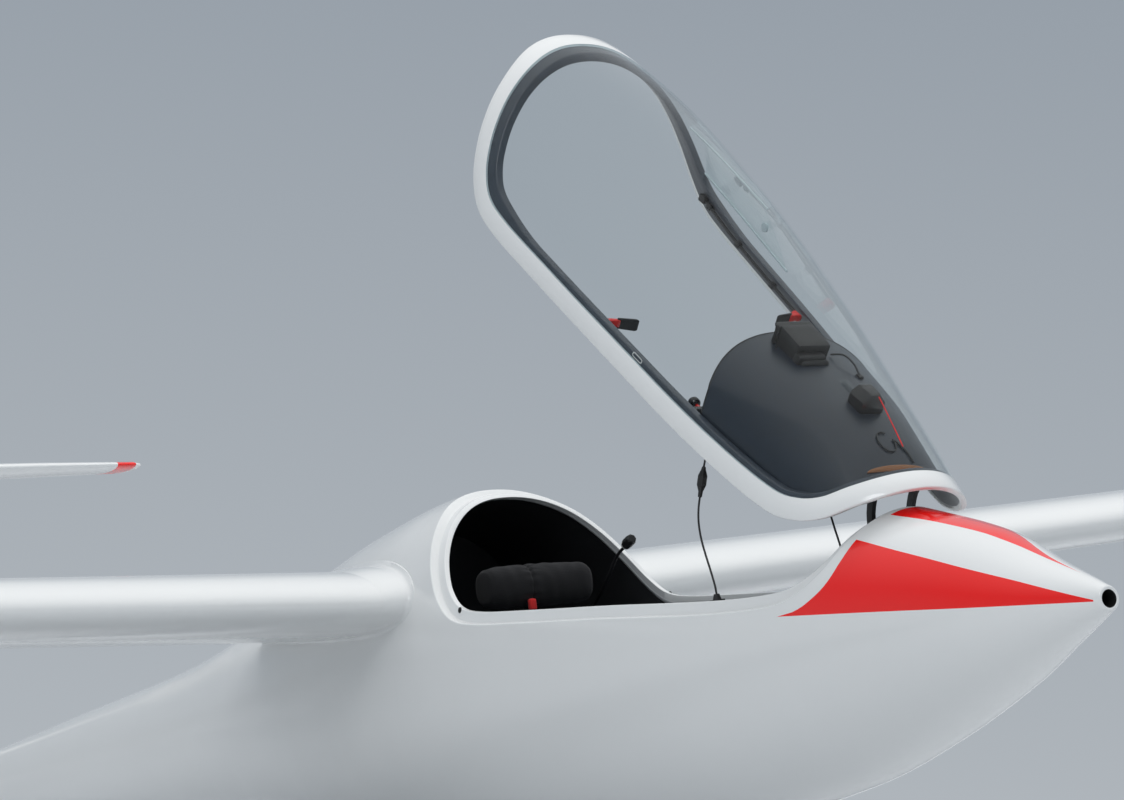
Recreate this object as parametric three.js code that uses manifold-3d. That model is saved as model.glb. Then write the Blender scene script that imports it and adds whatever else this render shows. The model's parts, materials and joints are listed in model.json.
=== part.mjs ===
// Single-seat T-tail sailplane, parked on its wheels with its starboard wing tip down and its canopy open.
// Lengths are millimetres. The airframe is drawn in station axes: +X aft from the nose tip, +Y to
// starboard, +Z up. The last lines turn it into the parked attitude, with +X forward and +Y to port.
import * as THREE from "three";
import { mergeVertices } from "three/addons/utils/BufferGeometryUtils.js";
import Module from "manifold-3d";

const wasm = await Module();
wasm.setup();

// Parked attitude, in degrees
const rollToStarboard = 8.61;
const noseUp = 5.65;

// Fuselage
const cabinWall = 28;
const cabinStart = 330;
const cabinEnd = 2560;
const podEnd = 3600;
const boomEnd = 6440;
const shelfHeight = 60;
const shelfStart = 2150;
const bodySides = 36;
const fitGap = 0.3;

// Pod and boom. Columns: station, top, bottom, height of the widest point, half width,
// exponent of the upper half ellipse, exponent of the lower half ellipse.
const bodySections = [
  [0, 24, -24, 0, 24, 2, 2],
  [60, 51, -48, 0, 51, 2, 2],
  [160, 95, -87, 0, 93, 2, 2],
  [320, 174, -152, 4, 151, 2, 2],
  [573, 250, -235, 12, 198, 2, 2.05],
  [850, 330, -300, 24, 240, 1.95, 2.1],
  [1200, 417, -340, 36, 281, 2, 2.2],
  [1600, 489, -360, 46, 305, 2.1, 2.2],
  [2000, 516, -360, 54, 320, 2.2, 2.2],
  [2270, 508, -352, 60, 317, 2.2, 2.2],
  [2600, 470, -328, 66, 298, 2.2, 2.2],
  [3000, 400, -272, 66, 250, 2.15, 2.15],
  [3400, 322, -206, 62, 202, 2.1, 2.1],
  [3900, 246, -160, 48, 165, 2, 2],
  [4700, 182, -132, 26, 132, 2, 2],
  [5600, 110, -112, 0, 103, 2, 2],
  [6440, 50, -94, -20, 74, 2, 2],
];

// Line where the canopy meets the fuselage, seen from the side: station and height.
const partingPoints = [
  [566, 320],
  [572, 268],
  [590, 232],
  [618, 190],
  [655, 142],
  [715, 105],
  [800, 87],
  [1000, 94],
  [1350, 125],
  [1650, 149],
  [1860, 168],
  [1955, 190],
  [2020, 237],
  [2070, 300],
  [2115, 370],
  [2160, 440],
  [2215, 500],
  [2262, 560],
];
const canopyGap = 5;
const canopyBand = 45;
const canopyFrameDepth = 14;
const innerFrameWidth = 28;
const innerFrameDepth = 22;
const glassThickness = 4;
const flangeReach = 26;
const flangeTop = 18;
const flangeBottom = 30;

// Canopy hinge
const hingeStation = 507;
const hingeHeight = 166;
const canopyOpen = 37.9;
const hingeTubeRadius = 8;
const armSpacing = 50;
const armThickness = 10;
const canopyClearance = 7;

// Wing. Columns: distance from the centre line, leading edge station, chord, thickness as a share of
// the chord, height of the chord line.
const wingSections = [
  [360, 2165, 950, 0.165, 252],
  [4600, 2235, 760, 0.155, 467],
  [7290, 2415, 430, 0.14, 604],
  [7440, 2460, 345, 0.12, 612],
  [7500, 2520, 220, 0.09, 615],
];
// Root fairing on the fuselage, with the same columns.
const rootSections = [
  [150, 2110, 1110, 0.235, 258],
  [280, 2120, 1080, 0.215, 256],
  [318, 2142, 1010, 0.182, 253],
  [359.7, 2165, 950, 0.165, 252],
];
const camber = 0.03;
const camberPlace = 0.45;
const wingPoints = 12;
const hingeShare = 0.82;
const hingeClearance = 5;
const flapSpan = [386, 4584];
const aileronSpan = [4616, 7270];

// Airbrakes, on the upper surface of each wing
const brakeMiddle = 2600;
const brakeShare = 0.55;
const brakeLength = 1180;
const brakeDepth = 84;
const brakeBlade = 6;
const brakeCap = 24;
const brakeCapThickness = 5;

// Tail
const hingeLineTail = 6690;
const tailplaneHeight = 1139;
// Columns: distance from the centre line, leading edge station, trailing edge station, thickness share.
const tailplaneSections = [
  [0, 6365, 6802, 0.125],
  [700, 6470, 6803, 0.12],
  [1080, 6545, 6806, 0.11],
  [1120, 6580, 6800, 0.09],
  [1134, 6630, 6780, 0.06],
];
const elevatorReach = 1060;
// Fin and rudder. Columns: height, leading edge station, trailing edge station, thickness.
const finSections = [
  [-110, 5480, 6790, 104],
  [60, 5600, 6838, 108],
  [600, 5935, 6822, 86],
  [1112, 6240, 6806, 60],
];
const rudderFoot = [6475, -95];
const rudderHead = [6560, 1060];

// Main wheel and tail wheel: station and height of the axle
const mainAxle = [2450, -402];
const mainRadius = 178;
const mainWidth = 124;
const bayHalfWidth = 96;
const bayEnds = [2225, 2700];
const bayRoof = -25;
const tailAxle = [6235, -112];
const tailRadius = 95;
const tailWidth = 56;
const axleRadius = 12.5;
const axleClearance = 0.6;
const wheelSides = 28;

// Cables and instruments. Routes are in station axes, with the canopy open.
const leadRadius = 2.2;
const yawStringRadius = 1.2;
const windowThickness = 3;
const towHookLow = -382;
const connectorFoot = [1020, 210, -12]; // with the canopy closed
const displayPlace = [1104, -18, 322];
const compassPlace = [872, -24, 300];
const compassRadius = 36;
const socketTop = [1000, 211, 134];
const canopyLeadRoute = [
  [1021.3, 210, 340.3],
  [1031, 210, 318],
  [1037, 210, 290],
  [1035, 210, 256],
  [1026, 210, 222],
  [1012, 210.5, 182],
  [1002, 211, 150],
  [1000, 211, 134.4],
];
const blockFace = [615, 130, 94];
const panelLeadRoute = [
  [928.2, 90, 524.3],
  [920, 90, 518],
  [872, 95, 470],
  [818, 98, 406],
  [757, 100, 328],
  [724, 100, 272],
  [706, 100, 218],
  [690, 98, 166],
  [664, 98, 122],
  [638, 103, 101],
  [620, 114, 94.5],
  [615, 123, 94],
  [615, 129.6, 94],
];

// Colours
const finish = (color, roughness, metalness = 0) =>
  new THREE.MeshStandardMaterial({ color, roughness, metalness });
const gelcoat = finish(0xeef0ef, 0.22);
const clear = new THREE.MeshStandardMaterial({
  color: 0xdfe8ec,
  roughness: 0.05,
  transparent: true,
  opacity: 0.25,
});
const slate = finish(0x2f3944, 0.5);
const black = finish(0x141516, 0.55);
const fabric = finish(0x1b1c1f, 0.9);
const rubber = finish(0x17181a, 0.85);
const steel = finish(0x8d9296, 0.4, 0.9);
const aluminium = finish(0xb4b8bc, 0.35, 0.9);
const red = finish(0xc01818, 0.4);

// Solids and surfaces
function solid(geometry) {
  const bare = geometry.clone();
  for (const name of Object.keys(bare.attributes)) {
    if (name !== "position") bare.deleteAttribute(name);
  }
  const merged = mergeVertices(bare, 1e-3);
  return new wasm.Manifold(
    new wasm.Mesh({
      numProp: 3,
      vertProperties: merged.attributes.position.array,
      triVerts: new Uint32Array(merged.index.array),
    }),
  );
}

function surface(made) {
  const mesh = made.getMesh();
  const geometry = new THREE.BufferGeometry();
  geometry.setAttribute("position", new THREE.BufferAttribute(mesh.vertProperties, 3));
  geometry.setIndex(new THREE.BufferAttribute(mesh.triVerts, 1));
  const faceted = geometry.toNonIndexed();
  faceted.computeVertexNormals();
  return faceted;
}

// Closed skin through rings that hold equally many points, with a flat cap at each end.
function loft(rings) {
  const count = rings[0].length;
  const points = rings.flat();
  const faces = [];
  for (let r = 0; r + 1 < rings.length; r++) {
    for (let i = 0; i < count; i++) {
      const a = r * count + i;
      const b = r * count + ((i + 1) % count);
      faces.push([a, b, b + count], [a, b + count, a + count]);
    }
  }
  for (const [ring, turned] of [
    [0, true],
    [rings.length - 1, false],
  ]) {
    const middle = new THREE.Vector3();
    rings[ring].forEach((p) => middle.addScaledVector(p, 1 / count));
    points.push(middle);
    for (let i = 0; i < count; i++) {
      const a = ring * count + i;
      const b = ring * count + ((i + 1) % count);
      faces.push(turned ? [points.length - 1, b, a] : [points.length - 1, a, b]);
    }
  }
  const volume = faces.reduce(
    (sum, [a, b, c]) => sum + points[a].dot(points[b].clone().cross(points[c])),
    0,
  );
  const index = faces.flatMap((face) => (volume > 0 ? face : [face[0], face[2], face[1]]));
  return new THREE.BufferGeometry().setFromPoints(points).setIndex(index);
}

function block(low, high) {
  const size = high.map((value, axis) => value - low[axis]);
  const box = new THREE.BoxGeometry(...size);
  return box.translate(...low.map((value, axis) => value + size[axis] / 2));
}

// Round bar across the airframe, about a point given by station and height.
function crossBar(radius, [station, height], fromY, toY, sides = 24) {
  const bar = new THREE.CylinderGeometry(radius, radius, toY - fromY, sides);
  return bar.translate(station, (fromY + toY) / 2, height);
}

// Flat plate seen from the side, from its outline in station and height.
function sidePlate(outline, fromY, toY) {
  const plate = new THREE.ExtrudeGeometry(new THREE.Shape(outline), {
    depth: toY - fromY,
    bevelEnabled: false,
  });
  return plate.rotateX(Math.PI / 2).translate(0, toY, 0);
}

// Outline of a strip of even width along a curve.
function strip(points, width, steps) {
  const curve = new THREE.SplineCurve(points.map(([x, y]) => new THREE.Vector2(x, y)));
  const edge = (side) =>
    Array.from({ length: steps + 1 }, (_, i) => {
      const tangent = curve.getTangent(i / steps);
      return new THREE.Vector2(-tangent.y, tangent.x)
        .multiplyScalar((side * width) / 2)
        .add(curve.getPoint(i / steps));
    });
  return [...edge(1), ...edge(-1).reverse()];
}

// Smooth value of one column of a table at a place in its first column, with no overshoot.
function along(table, column, place) {
  let row = 0;
  while (row < table.length - 2 && place > table[row + 1][0]) row++;
  const slope = (i) =>
    (table[i + 1][column] - table[i][column]) / (table[i + 1][0] - table[i][0]);
  const tangent = (i) => {
    if (i === 0) return slope(0);
    if (i === table.length - 1) return slope(i - 1);
    const before = slope(i - 1);
    const after = slope(i);
    return before * after > 0 ? (2 * before * after) / (before + after) : 0;
  };
  const width = table[row + 1][0] - table[row][0];
  const t = (place - table[row][0]) / width;
  return (
    (2 * t ** 3 - 3 * t ** 2 + 1) * table[row][column] +
    (t ** 3 - 2 * t ** 2 + t) * width * tangent(row) +
    (3 * t ** 2 - 2 * t ** 3) * table[row + 1][column] +
    (t ** 3 - t ** 2) * width * tangent(row + 1)
  );
}

function straight(table, column, place) {
  let row = 0;
  while (row < table.length - 2 && place > table[row + 1][0]) row++;
  const t = (place - table[row][0]) / (table[row + 1][0] - table[row][0]);
  return table[row][column] + t * (table[row + 1][column] - table[row][column]);
}

const rounded = (cosine, exponent) => Math.sign(cosine) * Math.abs(cosine) ** (2 / exponent);

// Fuselage body
function bodyRing(station, inset) {
  const [top, bottom, middle, half, upper, lower] = [1, 2, 3, 4, 5, 6].map((column) =>
    along(bodySections, column, station),
  );
  return Array.from({ length: bodySides }, (_, i) => {
    const angle = (2 * Math.PI * i) / bodySides;
    const above = Math.sin(angle) >= 0;
    const exponent = above ? upper : lower;
    const rise = above ? top - inset - middle : middle - bottom - inset;
    return new THREE.Vector3(
      station,
      (half - inset) * rounded(Math.cos(angle), exponent),
      middle + rise * rounded(Math.sin(angle), exponent),
    );
  });
}

// Distance from the centre line to the body's side, inside the outer skin by the inset.
function sideAt(station, height, inset) {
  const [top, , middle, half, upper] = [1, 2, 3, 4, 5].map((column) =>
    along(bodySections, column, station),
  );
  const rise = (height - middle) / (top - inset - middle);
  return (half - inset) * (1 - rise ** upper) ** (1 / upper);
}

// Height of the body's upper skin at a distance from the centre line.
function topAt(station, y) {
  const [top, , middle, half, upper] = [1, 2, 3, 4, 5].map((column) =>
    along(bodySections, column, station),
  );
  return middle + (top - middle) * (1 - Math.abs(y / half) ** upper) ** (1 / upper);
}

// Body from one station to another, inside the outer skin by the inset.
function body(from, to, inset) {
  const stations = [from];
  for (let i = 0; i + 1 < bodySections.length; i++) {
    const here = bodySections[i][0];
    const next = bodySections[i + 1][0];
    stations.push(here, (here + next) / 2);
  }
  const kept = stations.filter((s, i) => i === 0 || (s > from + 5 && s < to - 5));
  return solid(loft([...kept, to].map((station) => bodyRing(station, inset))));
}

// Everything above the parting line, kept inside it by the inset.
function canopySpace(inset) {
  const line = new THREE.SplineCurve(partingPoints.map(([x, y]) => new THREE.Vector2(x, y)));
  const steps = 34;
  const edge = Array.from({ length: steps + 1 }, (_, i) => {
    const tangent = line.getTangentAt(i / steps);
    return new THREE.Vector2(-tangent.y, tangent.x).multiplyScalar(inset).add(line.getPointAt(i / steps));
  });
  const ceiling = 700;
  const reach = 600;
  return solid(
    sidePlate(
      [new THREE.Vector2(edge[0].x, ceiling), ...edge, new THREE.Vector2(edge[steps].x, ceiling)],
      -reach,
      reach,
    ),
  );
}

// Layer of the body around the canopy, between two depths below the outer skin.
function canopyLayer(outer, inner) {
  return body(480, 2420, outer).subtract(body(440, 2460, inner));
}

// Wing section: a point at a share of the chord, on the upper or the lower surface.
function sectionPoint(share, thickness, upper, bend = camber) {
  const half =
    5 *
    thickness *
    (0.2969 * Math.sqrt(share) -
      0.126 * share -
      0.3516 * share ** 2 +
      0.2843 * share ** 3 -
      0.1036 * share ** 4);
  const front = share < camberPlace;
  const line = front
    ? (bend / camberPlace ** 2) * (2 * camberPlace * share - share ** 2)
    : (bend / (1 - camberPlace) ** 2) * (1 - 2 * camberPlace + 2 * camberPlace * share - share ** 2);
  const edge = 0.0022 * share;
  return upper ? line + half + edge : line - half - edge;
}

const chordShares = Array.from(
  { length: wingPoints },
  (_, i) => (1 - Math.cos((Math.PI * i) / (wingPoints - 1))) / 2,
);

function wingShape(table, side, span) {
  const [edge, chord, thickness, height] = [1, 2, 3, 4].map((column) =>
    straight(table, column, span),
  );
  const point = (share, upper) =>
    new THREE.Vector3(
      edge + share * chord,
      side * span,
      height + chord * sectionPoint(share, thickness, upper),
    );
  return { edge, chord, thickness, height, point };
}

function wingRing(table, side, span) {
  const { point } = wingShape(table, side, span);
  return [
    ...chordShares.map((share) => point(share, true)).reverse(),
    ...chordShares.slice(1).map((share) => point(share, false)),
  ];
}

// Axis and nose radius of a trailing edge surface at a place on the span.
function hingeAt(side, span) {
  const { point } = wingShape(wingSections, side, span);
  const upper = point(hingeShare, true);
  const lower = point(hingeShare, false);
  return {
    centre: upper.clone().add(lower).multiplyScalar(0.5),
    radius: (upper.z - lower.z) / 2,
    point,
  };
}

// Flap or aileron: a round nose about its hinge and the wing's own trailing edge.
function trailingRing(side, span) {
  const { centre, radius, point } = hingeAt(side, span);
  const arc = 8;
  const nose = Array.from({ length: arc + 1 }, (_, i) => {
    const angle = Math.PI / 2 + (Math.PI * i) / arc;
    return new THREE.Vector3(
      centre.x + radius * Math.cos(angle),
      centre.y,
      centre.z + radius * Math.sin(angle),
    );
  });
  const rest = [0.9, 1];
  return [
    ...nose,
    ...rest.map((share) => point(share, false)),
    ...rest.map((share) => point(share, true)).reverse(),
  ];
}

// Space that a flap or aileron needs in the wing.
function trailingSpace(side, [from, to]) {
  const ends = [from - hingeClearance, to + hingeClearance].map((span) => hingeAt(side, span));
  const cove = (hinge) => {
    const sides = 24;
    return Array.from({ length: sides }, (_, i) => {
      const angle = (2 * Math.PI * i) / sides;
      const reach = hinge.radius + hingeClearance;
      return new THREE.Vector3(
        hinge.centre.x + reach * Math.cos(angle),
        hinge.centre.y,
        hinge.centre.z + reach * Math.sin(angle),
      );
    });
  };
  const behind = (hinge) =>
    [
      [0, -1],
      [1, -1],
      [1, 1],
      [0, 1],
    ].map(
      ([aft, up]) =>
        new THREE.Vector3(
          hinge.centre.x + aft * 400,
          hinge.centre.y,
          hinge.centre.z + up * 120,
        ),
    );
  return solid(loft(ends.map(cove))).add(solid(loft(ends.map(behind))));
}

// Parts of the wing that lie in its own plane, tilted up by the inner panel's dihedral.
const dihedral = Math.atan2(
  wingSections[1][4] - wingSections[0][4],
  wingSections[1][0] - wingSections[0][0],
);

function inWingPlane(geometry, side) {
  const { chord, edge } = wingShape(wingSections, side, brakeMiddle);
  const { point } = wingShape(wingSections, side, brakeMiddle);
  const top = point(brakeShare, true).z;
  return geometry
    .rotateX(side * dihedral)
    .translate(edge + brakeShare * chord, side * brakeMiddle, top);
}

function brakeSpace(side) {
  const end = brakeLength / 2 + hingeClearance;
  const slot = brakeBlade / 2 + hingeClearance;
  const recess = brakeCap / 2 + hingeClearance;
  const deep = block([-slot, -end, -brakeDepth - hingeClearance - 6], [slot, end, 60]);
  const wide = block([-recess, -end, -brakeCapThickness - hingeClearance - 4], [recess, end, 60]);
  return solid(inWingPlane(deep, side)).add(solid(inWingPlane(wide, side)));
}

function airbrake(side) {
  const end = brakeLength / 2;
  const blade = block(
    [-brakeBlade / 2, -end, -brakeDepth],
    [brakeBlade / 2, end, -brakeCapThickness + 1],
  );
  const cap = block([-brakeCap / 2, -end, -brakeCapThickness - 2], [brakeCap / 2, end, -2]);
  return solid(inWingPlane(blade, side)).add(solid(inWingPlane(cap, side)));
}

function wing(side) {
  const spans = wingSections.map((row) => row[0]);
  return solid(loft(spans.map((span) => wingRing(wingSections, side, span))))
    .subtract(trailingSpace(side, flapSpan))
    .subtract(trailingSpace(side, aileronSpan))
    .subtract(brakeSpace(side));
}

function tipSkid(side) {
  const [span, edge, chord, , height] = wingSections[2];
  const depth = 46;
  const top = height + chord * sectionPoint(0.4, wingSections[2][3], false) - 1;
  const low = top - depth;
  const outline = [
    [edge + 0.22 * chord, top + 14],
    [edge + 0.3 * chord, low],
    [edge + 0.5 * chord, low],
    [edge + 0.66 * chord, top + 14],
  ].map(([x, y]) => new THREE.Vector2(x, y));
  const middle = side * (span - 40);
  const skid = solid(sidePlate(outline, middle - 9, middle + 9));
  const grown = solid(
    loft(
      wingSections
        .slice(1, 4)
        .map((row) => wingRing(wingSections, side, row[0]).map((p) => p.setZ(p.z - fitGap))),
    ),
  );
  return skid.subtract(grown);
}

// Tailplane and elevator
function tailplaneRing(span, grow = 0) {
  const [edge, trail, thickness] = [1, 2, 3].map((column) =>
    straight(tailplaneSections, column, Math.abs(span)),
  );
  const chord = trail - edge;
  const point = (share, upper) =>
    new THREE.Vector3(
      edge + share * chord,
      span,
      tailplaneHeight +
        chord * sectionPoint(share, thickness, upper, 0) +
        (upper ? grow : -grow),
    );
  return [
    ...chordShares.map((share) => point(share, true)).reverse(),
    ...chordShares.slice(1).map((share) => point(share, false)),
  ];
}

const tailSpans = [
  ...tailplaneSections.map((row) => -row[0]).reverse(),
  ...tailplaneSections.slice(1).map((row) => row[0]),
];

function tailHinge(span) {
  const [edge, trail, thickness] = [1, 2, 3].map((column) =>
    straight(tailplaneSections, column, Math.abs(span)),
  );
  const chord = trail - edge;
  const radius = chord * sectionPoint((hingeLineTail - edge) / chord, thickness, true, 0);
  return { radius, trail };
}

function elevatorRing(span) {
  const { radius, trail } = tailHinge(span);
  const arc = 8;
  const nose = Array.from({ length: arc + 1 }, (_, i) => {
    const angle = Math.PI / 2 + (Math.PI * i) / arc;
    return new THREE.Vector3(
      hingeLineTail + radius * Math.cos(angle),
      span,
      tailplaneHeight + radius * Math.sin(angle),
    );
  });
  const edge = 1.2;
  return [
    ...nose,
    new THREE.Vector3(trail, span, tailplaneHeight - edge),
    new THREE.Vector3(trail, span, tailplaneHeight + edge),
  ];
}

function tailplane() {
  const reach = elevatorReach + hingeClearance;
  const cove = [-reach, 0, reach].map((span) => {
    const sides = 24;
    const grown = tailHinge(span).radius + hingeClearance;
    return Array.from({ length: sides }, (_, i) => {
      const angle = (2 * Math.PI * i) / sides;
      return new THREE.Vector3(
        hingeLineTail + grown * Math.cos(angle),
        span,
        tailplaneHeight + grown * Math.sin(angle),
      );
    });
  });
  return solid(loft(tailSpans.map((span) => tailplaneRing(span))))
    .subtract(solid(loft(cove)))
    .subtract(
      solid(
        block(
          [hingeLineTail, -reach, tailplaneHeight - 80],
          [hingeLineTail + 200, reach, tailplaneHeight + 80],
        ),
      ),
    );
}

function elevator() {
  const spans = [-elevatorReach, -700, 0, 700, elevatorReach];
  return solid(loft(spans.map(elevatorRing)));
}

// Fin and rudder
function finRing(height) {
  const [edge, trail, thickness] = [1, 2, 3].map((column) =>
    straight(finSections, column, height),
  );
  const chord = trail - edge;
  const half = (share) => chord * sectionPoint(share, thickness / chord, true, 0);
  return [
    ...chordShares.map((share) => [share, 1]).reverse(),
    ...chordShares.slice(1).map((share) => [share, -1]),
  ].map(([share, side]) => new THREE.Vector3(edge + share * chord, side * half(share), height));
}

function rudderHinge(height) {
  const [edge, trail, thickness] = [1, 2, 3].map((column) =>
    straight(finSections, column, height),
  );
  const chord = trail - edge;
  const t = (height - rudderFoot[1]) / (rudderHead[1] - rudderFoot[1]);
  const station = rudderFoot[0] + t * (rudderHead[0] - rudderFoot[0]);
  const half = (at) => chord * sectionPoint((at - edge) / chord, thickness / chord, true, 0);
  return { station, radius: half(station), trail, half };
}

function rudderRing(height) {
  const { station, radius, trail, half } = rudderHinge(height);
  const arc = 8;
  const nose = Array.from({ length: arc + 1 }, (_, i) => {
    const angle = Math.PI / 2 + (Math.PI * i) / arc;
    return new THREE.Vector3(
      station + radius * Math.cos(angle),
      radius * Math.sin(angle),
      height,
    );
  });
  const middle = (station + trail) / 2;
  return [
    ...nose,
    new THREE.Vector3(middle, -half(middle), height),
    new THREE.Vector3(trail, -2, height),
    new THREE.Vector3(trail, 2, height),
    new THREE.Vector3(middle, half(middle), height),
  ];
}

function rudderSpace() {
  const reach = 300;
  const heights = [rudderFoot[1] - reach, rudderHead[1] + reach];
  const cove = heights.map((height) => {
    const { station } = rudderHinge(height);
    const grown = rudderHinge(0).radius + hingeClearance;
    const sides = 24;
    return Array.from({ length: sides }, (_, i) => {
      const angle = (2 * Math.PI * i) / sides;
      return new THREE.Vector3(
        station + grown * Math.cos(angle),
        grown * Math.sin(angle),
        height,
      );
    });
  });
  const behind = heights.map((height) => {
    const { station } = rudderHinge(height);
    return [
      [0, -1],
      [1, -1],
      [1, 1],
      [0, 1],
    ].map(([aft, out]) => new THREE.Vector3(station + aft * 600, out * 200, height));
  });
  return solid(loft(cove)).add(solid(loft(behind)));
}

function fin() {
  const heights = finSections.map((row) => row[0]);
  const grownTail = solid(loft(tailSpans.map((span) => tailplaneRing(span, fitGap))));
  return solid(loft(heights.map(finRing)))
    .subtract(body(podEnd, boomEnd + fitGap, -fitGap))
    .subtract(rudderSpace())
    .subtract(grownTail)
    .subtract(solid(block([5000, -200, -400], [7000, 200, 0])));
}

function rudder() {
  const heights = [rudderFoot[1], 60, 600, rudderHead[1]];
  return solid(loft(heights.map(rudderRing)));
}

// Fuselage
function tailWheelWell() {
  const half = tailWidth / 2 + 8;
  const reach = tailRadius + 12;
  return solid(
    block(
      [tailAxle[0] - reach, -half, -300],
      [tailAxle[0] + reach, half, tailAxle[1] + tailRadius + 8],
    ),
  );
}

function wingFairing(side) {
  return solid(loft(rootSections.map((row) => wingRing(rootSections, side, row[0]))));
}

function fuselage() {
  const ventRadius = 17;
  const ventDepth = 70;
  const vent = new THREE.CylinderGeometry(ventRadius, ventRadius, 2 * ventDepth, 24);
  const cabin = body(cabinStart, cabinEnd, cabinWall).subtract(
    solid(block([shelfStart, -500, -500], [cabinEnd + 50, 500, shelfHeight])),
  );
  const bay = block([bayEnds[0], -bayHalfWidth, -600], [bayEnds[1], bayHalfWidth, bayRoof]);
  const flange = canopyLayer(flangeTop, flangeBottom)
    .intersect(canopySpace(-8))
    .subtract(canopySpace(flangeReach));
  return body(0, podEnd, 0)
    .add(wingFairing(1))
    .add(wingFairing(-1))
    .subtract(cabin)
    .subtract(canopySpace(0))
    .subtract(solid(bay))
    .subtract(solid(vent.rotateZ(Math.PI / 2)))
    .add(flange);
}

function tailBoom() {
  return body(podEnd + fitGap, boomEnd, 0).subtract(tailWheelWell()).subtract(rudderSpace());
}

// Wheels
function tyreProfile(radius, width, rim) {
  const half = width / 2;
  const side = 0.86 * half;
  const crown = (radius - rim) * 0.42;
  const bead = 0.62 * half;
  return [
    [rim, -bead],
    [rim + 0.35 * (radius - rim), -half],
    [radius - crown, -side * 1.06],
    [radius - 0.3 * crown, -side * 0.72],
    [radius, -side * 0.28],
    [radius, side * 0.28],
    [radius - 0.3 * crown, side * 0.72],
    [radius - crown, side * 1.06],
    [rim + 0.35 * (radius - rim), half],
    [rim, bead],
    [rim, -bead],
  ].map(([x, y]) => new THREE.Vector2(x, y));
}

function tyre(radius, width, rim, [station, height]) {
  const ring = new THREE.LatheGeometry(tyreProfile(radius, width, rim), wheelSides);
  return solid(ring.translate(station, 0, height));
}

function hub(rim, width, [station, height]) {
  const bore = axleRadius + axleClearance;
  const half = width / 2;
  const outline = [
    [bore, -half],
    [bore + 16, -half],
    [bore + 18, -half * 0.4],
    [rim - 16, -half * 0.3],
    [rim - 12, -half * 0.9],
    [rim - fitGap, -half * 0.9],
    [rim - fitGap, half * 0.9],
    [rim - 12, half * 0.9],
    [rim - 16, half * 0.3],
    [bore + 18, half * 0.4],
    [bore + 16, half],
    [bore, half],
    [bore, -half],
  ].map(([x, y]) => new THREE.Vector2(x, y));
  return solid(new THREE.LatheGeometry(outline, wheelSides).translate(station, 0, height));
}

function gearFrame() {
  const [station, height] = mainAxle;
  const inner = mainWidth / 2 + 7;
  const outer = inner + 12;
  const top = bayRoof - 45;
  const barRadius = 20;
  const leg = strip(
    [
      [station - 120, top],
      [station - 70, top - 130],
      [station, height],
    ],
    44,
    8,
  );
  const eye = (side) =>
    crossBar(30, [station, height], Math.min(side * inner, side * outer), Math.max(side * inner, side * outer));
  let frame = solid(crossBar(barRadius, [station - 120, top], -bayHalfWidth + fitGap, bayHalfWidth - fitGap));
  for (const side of [-1, 1]) {
    const [from, to] = side > 0 ? [inner, outer] : [-outer, -inner];
    frame = frame.add(solid(sidePlate(leg, from, to))).add(solid(eye(side)));
  }
  const gap = axleRadius + fitGap;
  return frame.subtract(solid(crossBar(gap, mainAxle, -outer - 5, outer + 5)));
}

function gearDoor(side) {
  const thickness = 7;
  const y = side * (bayHalfWidth + 1);
  const outline = [
    [bayEnds[0] + 12, -352],
    [bayEnds[0] + 40, -440],
    [bayEnds[0] + 80, -458],
    [bayEnds[1] - 70, -448],
    [bayEnds[1] - 30, -430],
    [bayEnds[1] - 12, -334],
  ].map(([x, z]) => new THREE.Vector2(x, z));
  const [from, to] = side > 0 ? [y, y + thickness] : [y - thickness, y];
  return solid(sidePlate(outline, from, to)).subtract(body(2000, 3000, -fitGap));
}

function tailWheelMount() {
  const [station, height] = tailAxle;
  const outer = tailWidth / 2 + 22;
  const low = height - 46;
  const outline = [
    [station - 210, -60],
    [station - 160, low + 22],
    [station - 60, low],
    [station + 70, low],
    [station + 140, low + 24],
    [station + 185, -60],
  ].map(([x, z]) => new THREE.Vector2(x, z));
  const axle = solid(crossBar(axleRadius, tailAxle, -outer, outer));
  return solid(sidePlate(outline, -outer, outer))
    .subtract(body(5500, boomEnd, -fitGap))
    .subtract(tailWheelWell())
    .add(axle);
}

// Cabin
const seatLine = [
  [1190, -185],
  [1300, -165],
  [1470, -222],
  [1620, -240],
  [1760, -196],
  [1920, -62],
  [2040, 96],
  [2092, 200],
];

const insideCabin = (shape) => shape.intersect(body(cabinStart, cabinEnd, cabinWall + fitGap));

const panThickness = 8;
const seatStrip = (thickness) => solid(sidePlate(strip(seatLine, thickness, 28), -270, 270));

function seatPan() {
  return insideCabin(seatStrip(panThickness));
}

// Cushion along a stretch of the seat line, given as shares of its length, lifted clear of the pan.
function cushion(from, to, thickness, halfWidth) {
  const lift = (thickness + panThickness) / 2;
  const curve = new THREE.SplineCurve(seatLine.map(([x, y]) => new THREE.Vector2(x, y)));
  const steps = 8;
  const raised = Array.from({ length: steps + 1 }, (_, i) => {
    const share = from + ((to - from) * i) / steps;
    const tangent = curve.getTangentAt(share);
    const place = curve.getPointAt(share);
    return [place.x - tangent.y * lift, place.y + tangent.x * lift];
  });
  const pad = solid(sidePlate(strip(raised, thickness, 2 * steps), -halfWidth, halfWidth));
  return pad.subtract(seatStrip(panThickness + 2 * fitGap));
}

function headrest() {
  const radius = 57;
  const half = 150;
  return new THREE.CylinderGeometry(radius, radius, 2 * half, 20).translate(2080, 0, 262);
}

function rearBulkhead() {
  const plate = solid(block([2165, -400, shelfHeight + fitGap], [2177, 400, 205]));
  return insideCabin(plate);
}

function armRest(side) {
  const [from, to] = side > 0 ? [196, 320] : [-320, -196];
  return insideCabin(solid(block([1270, from, -40], [1900, to, -14])));
}

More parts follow.
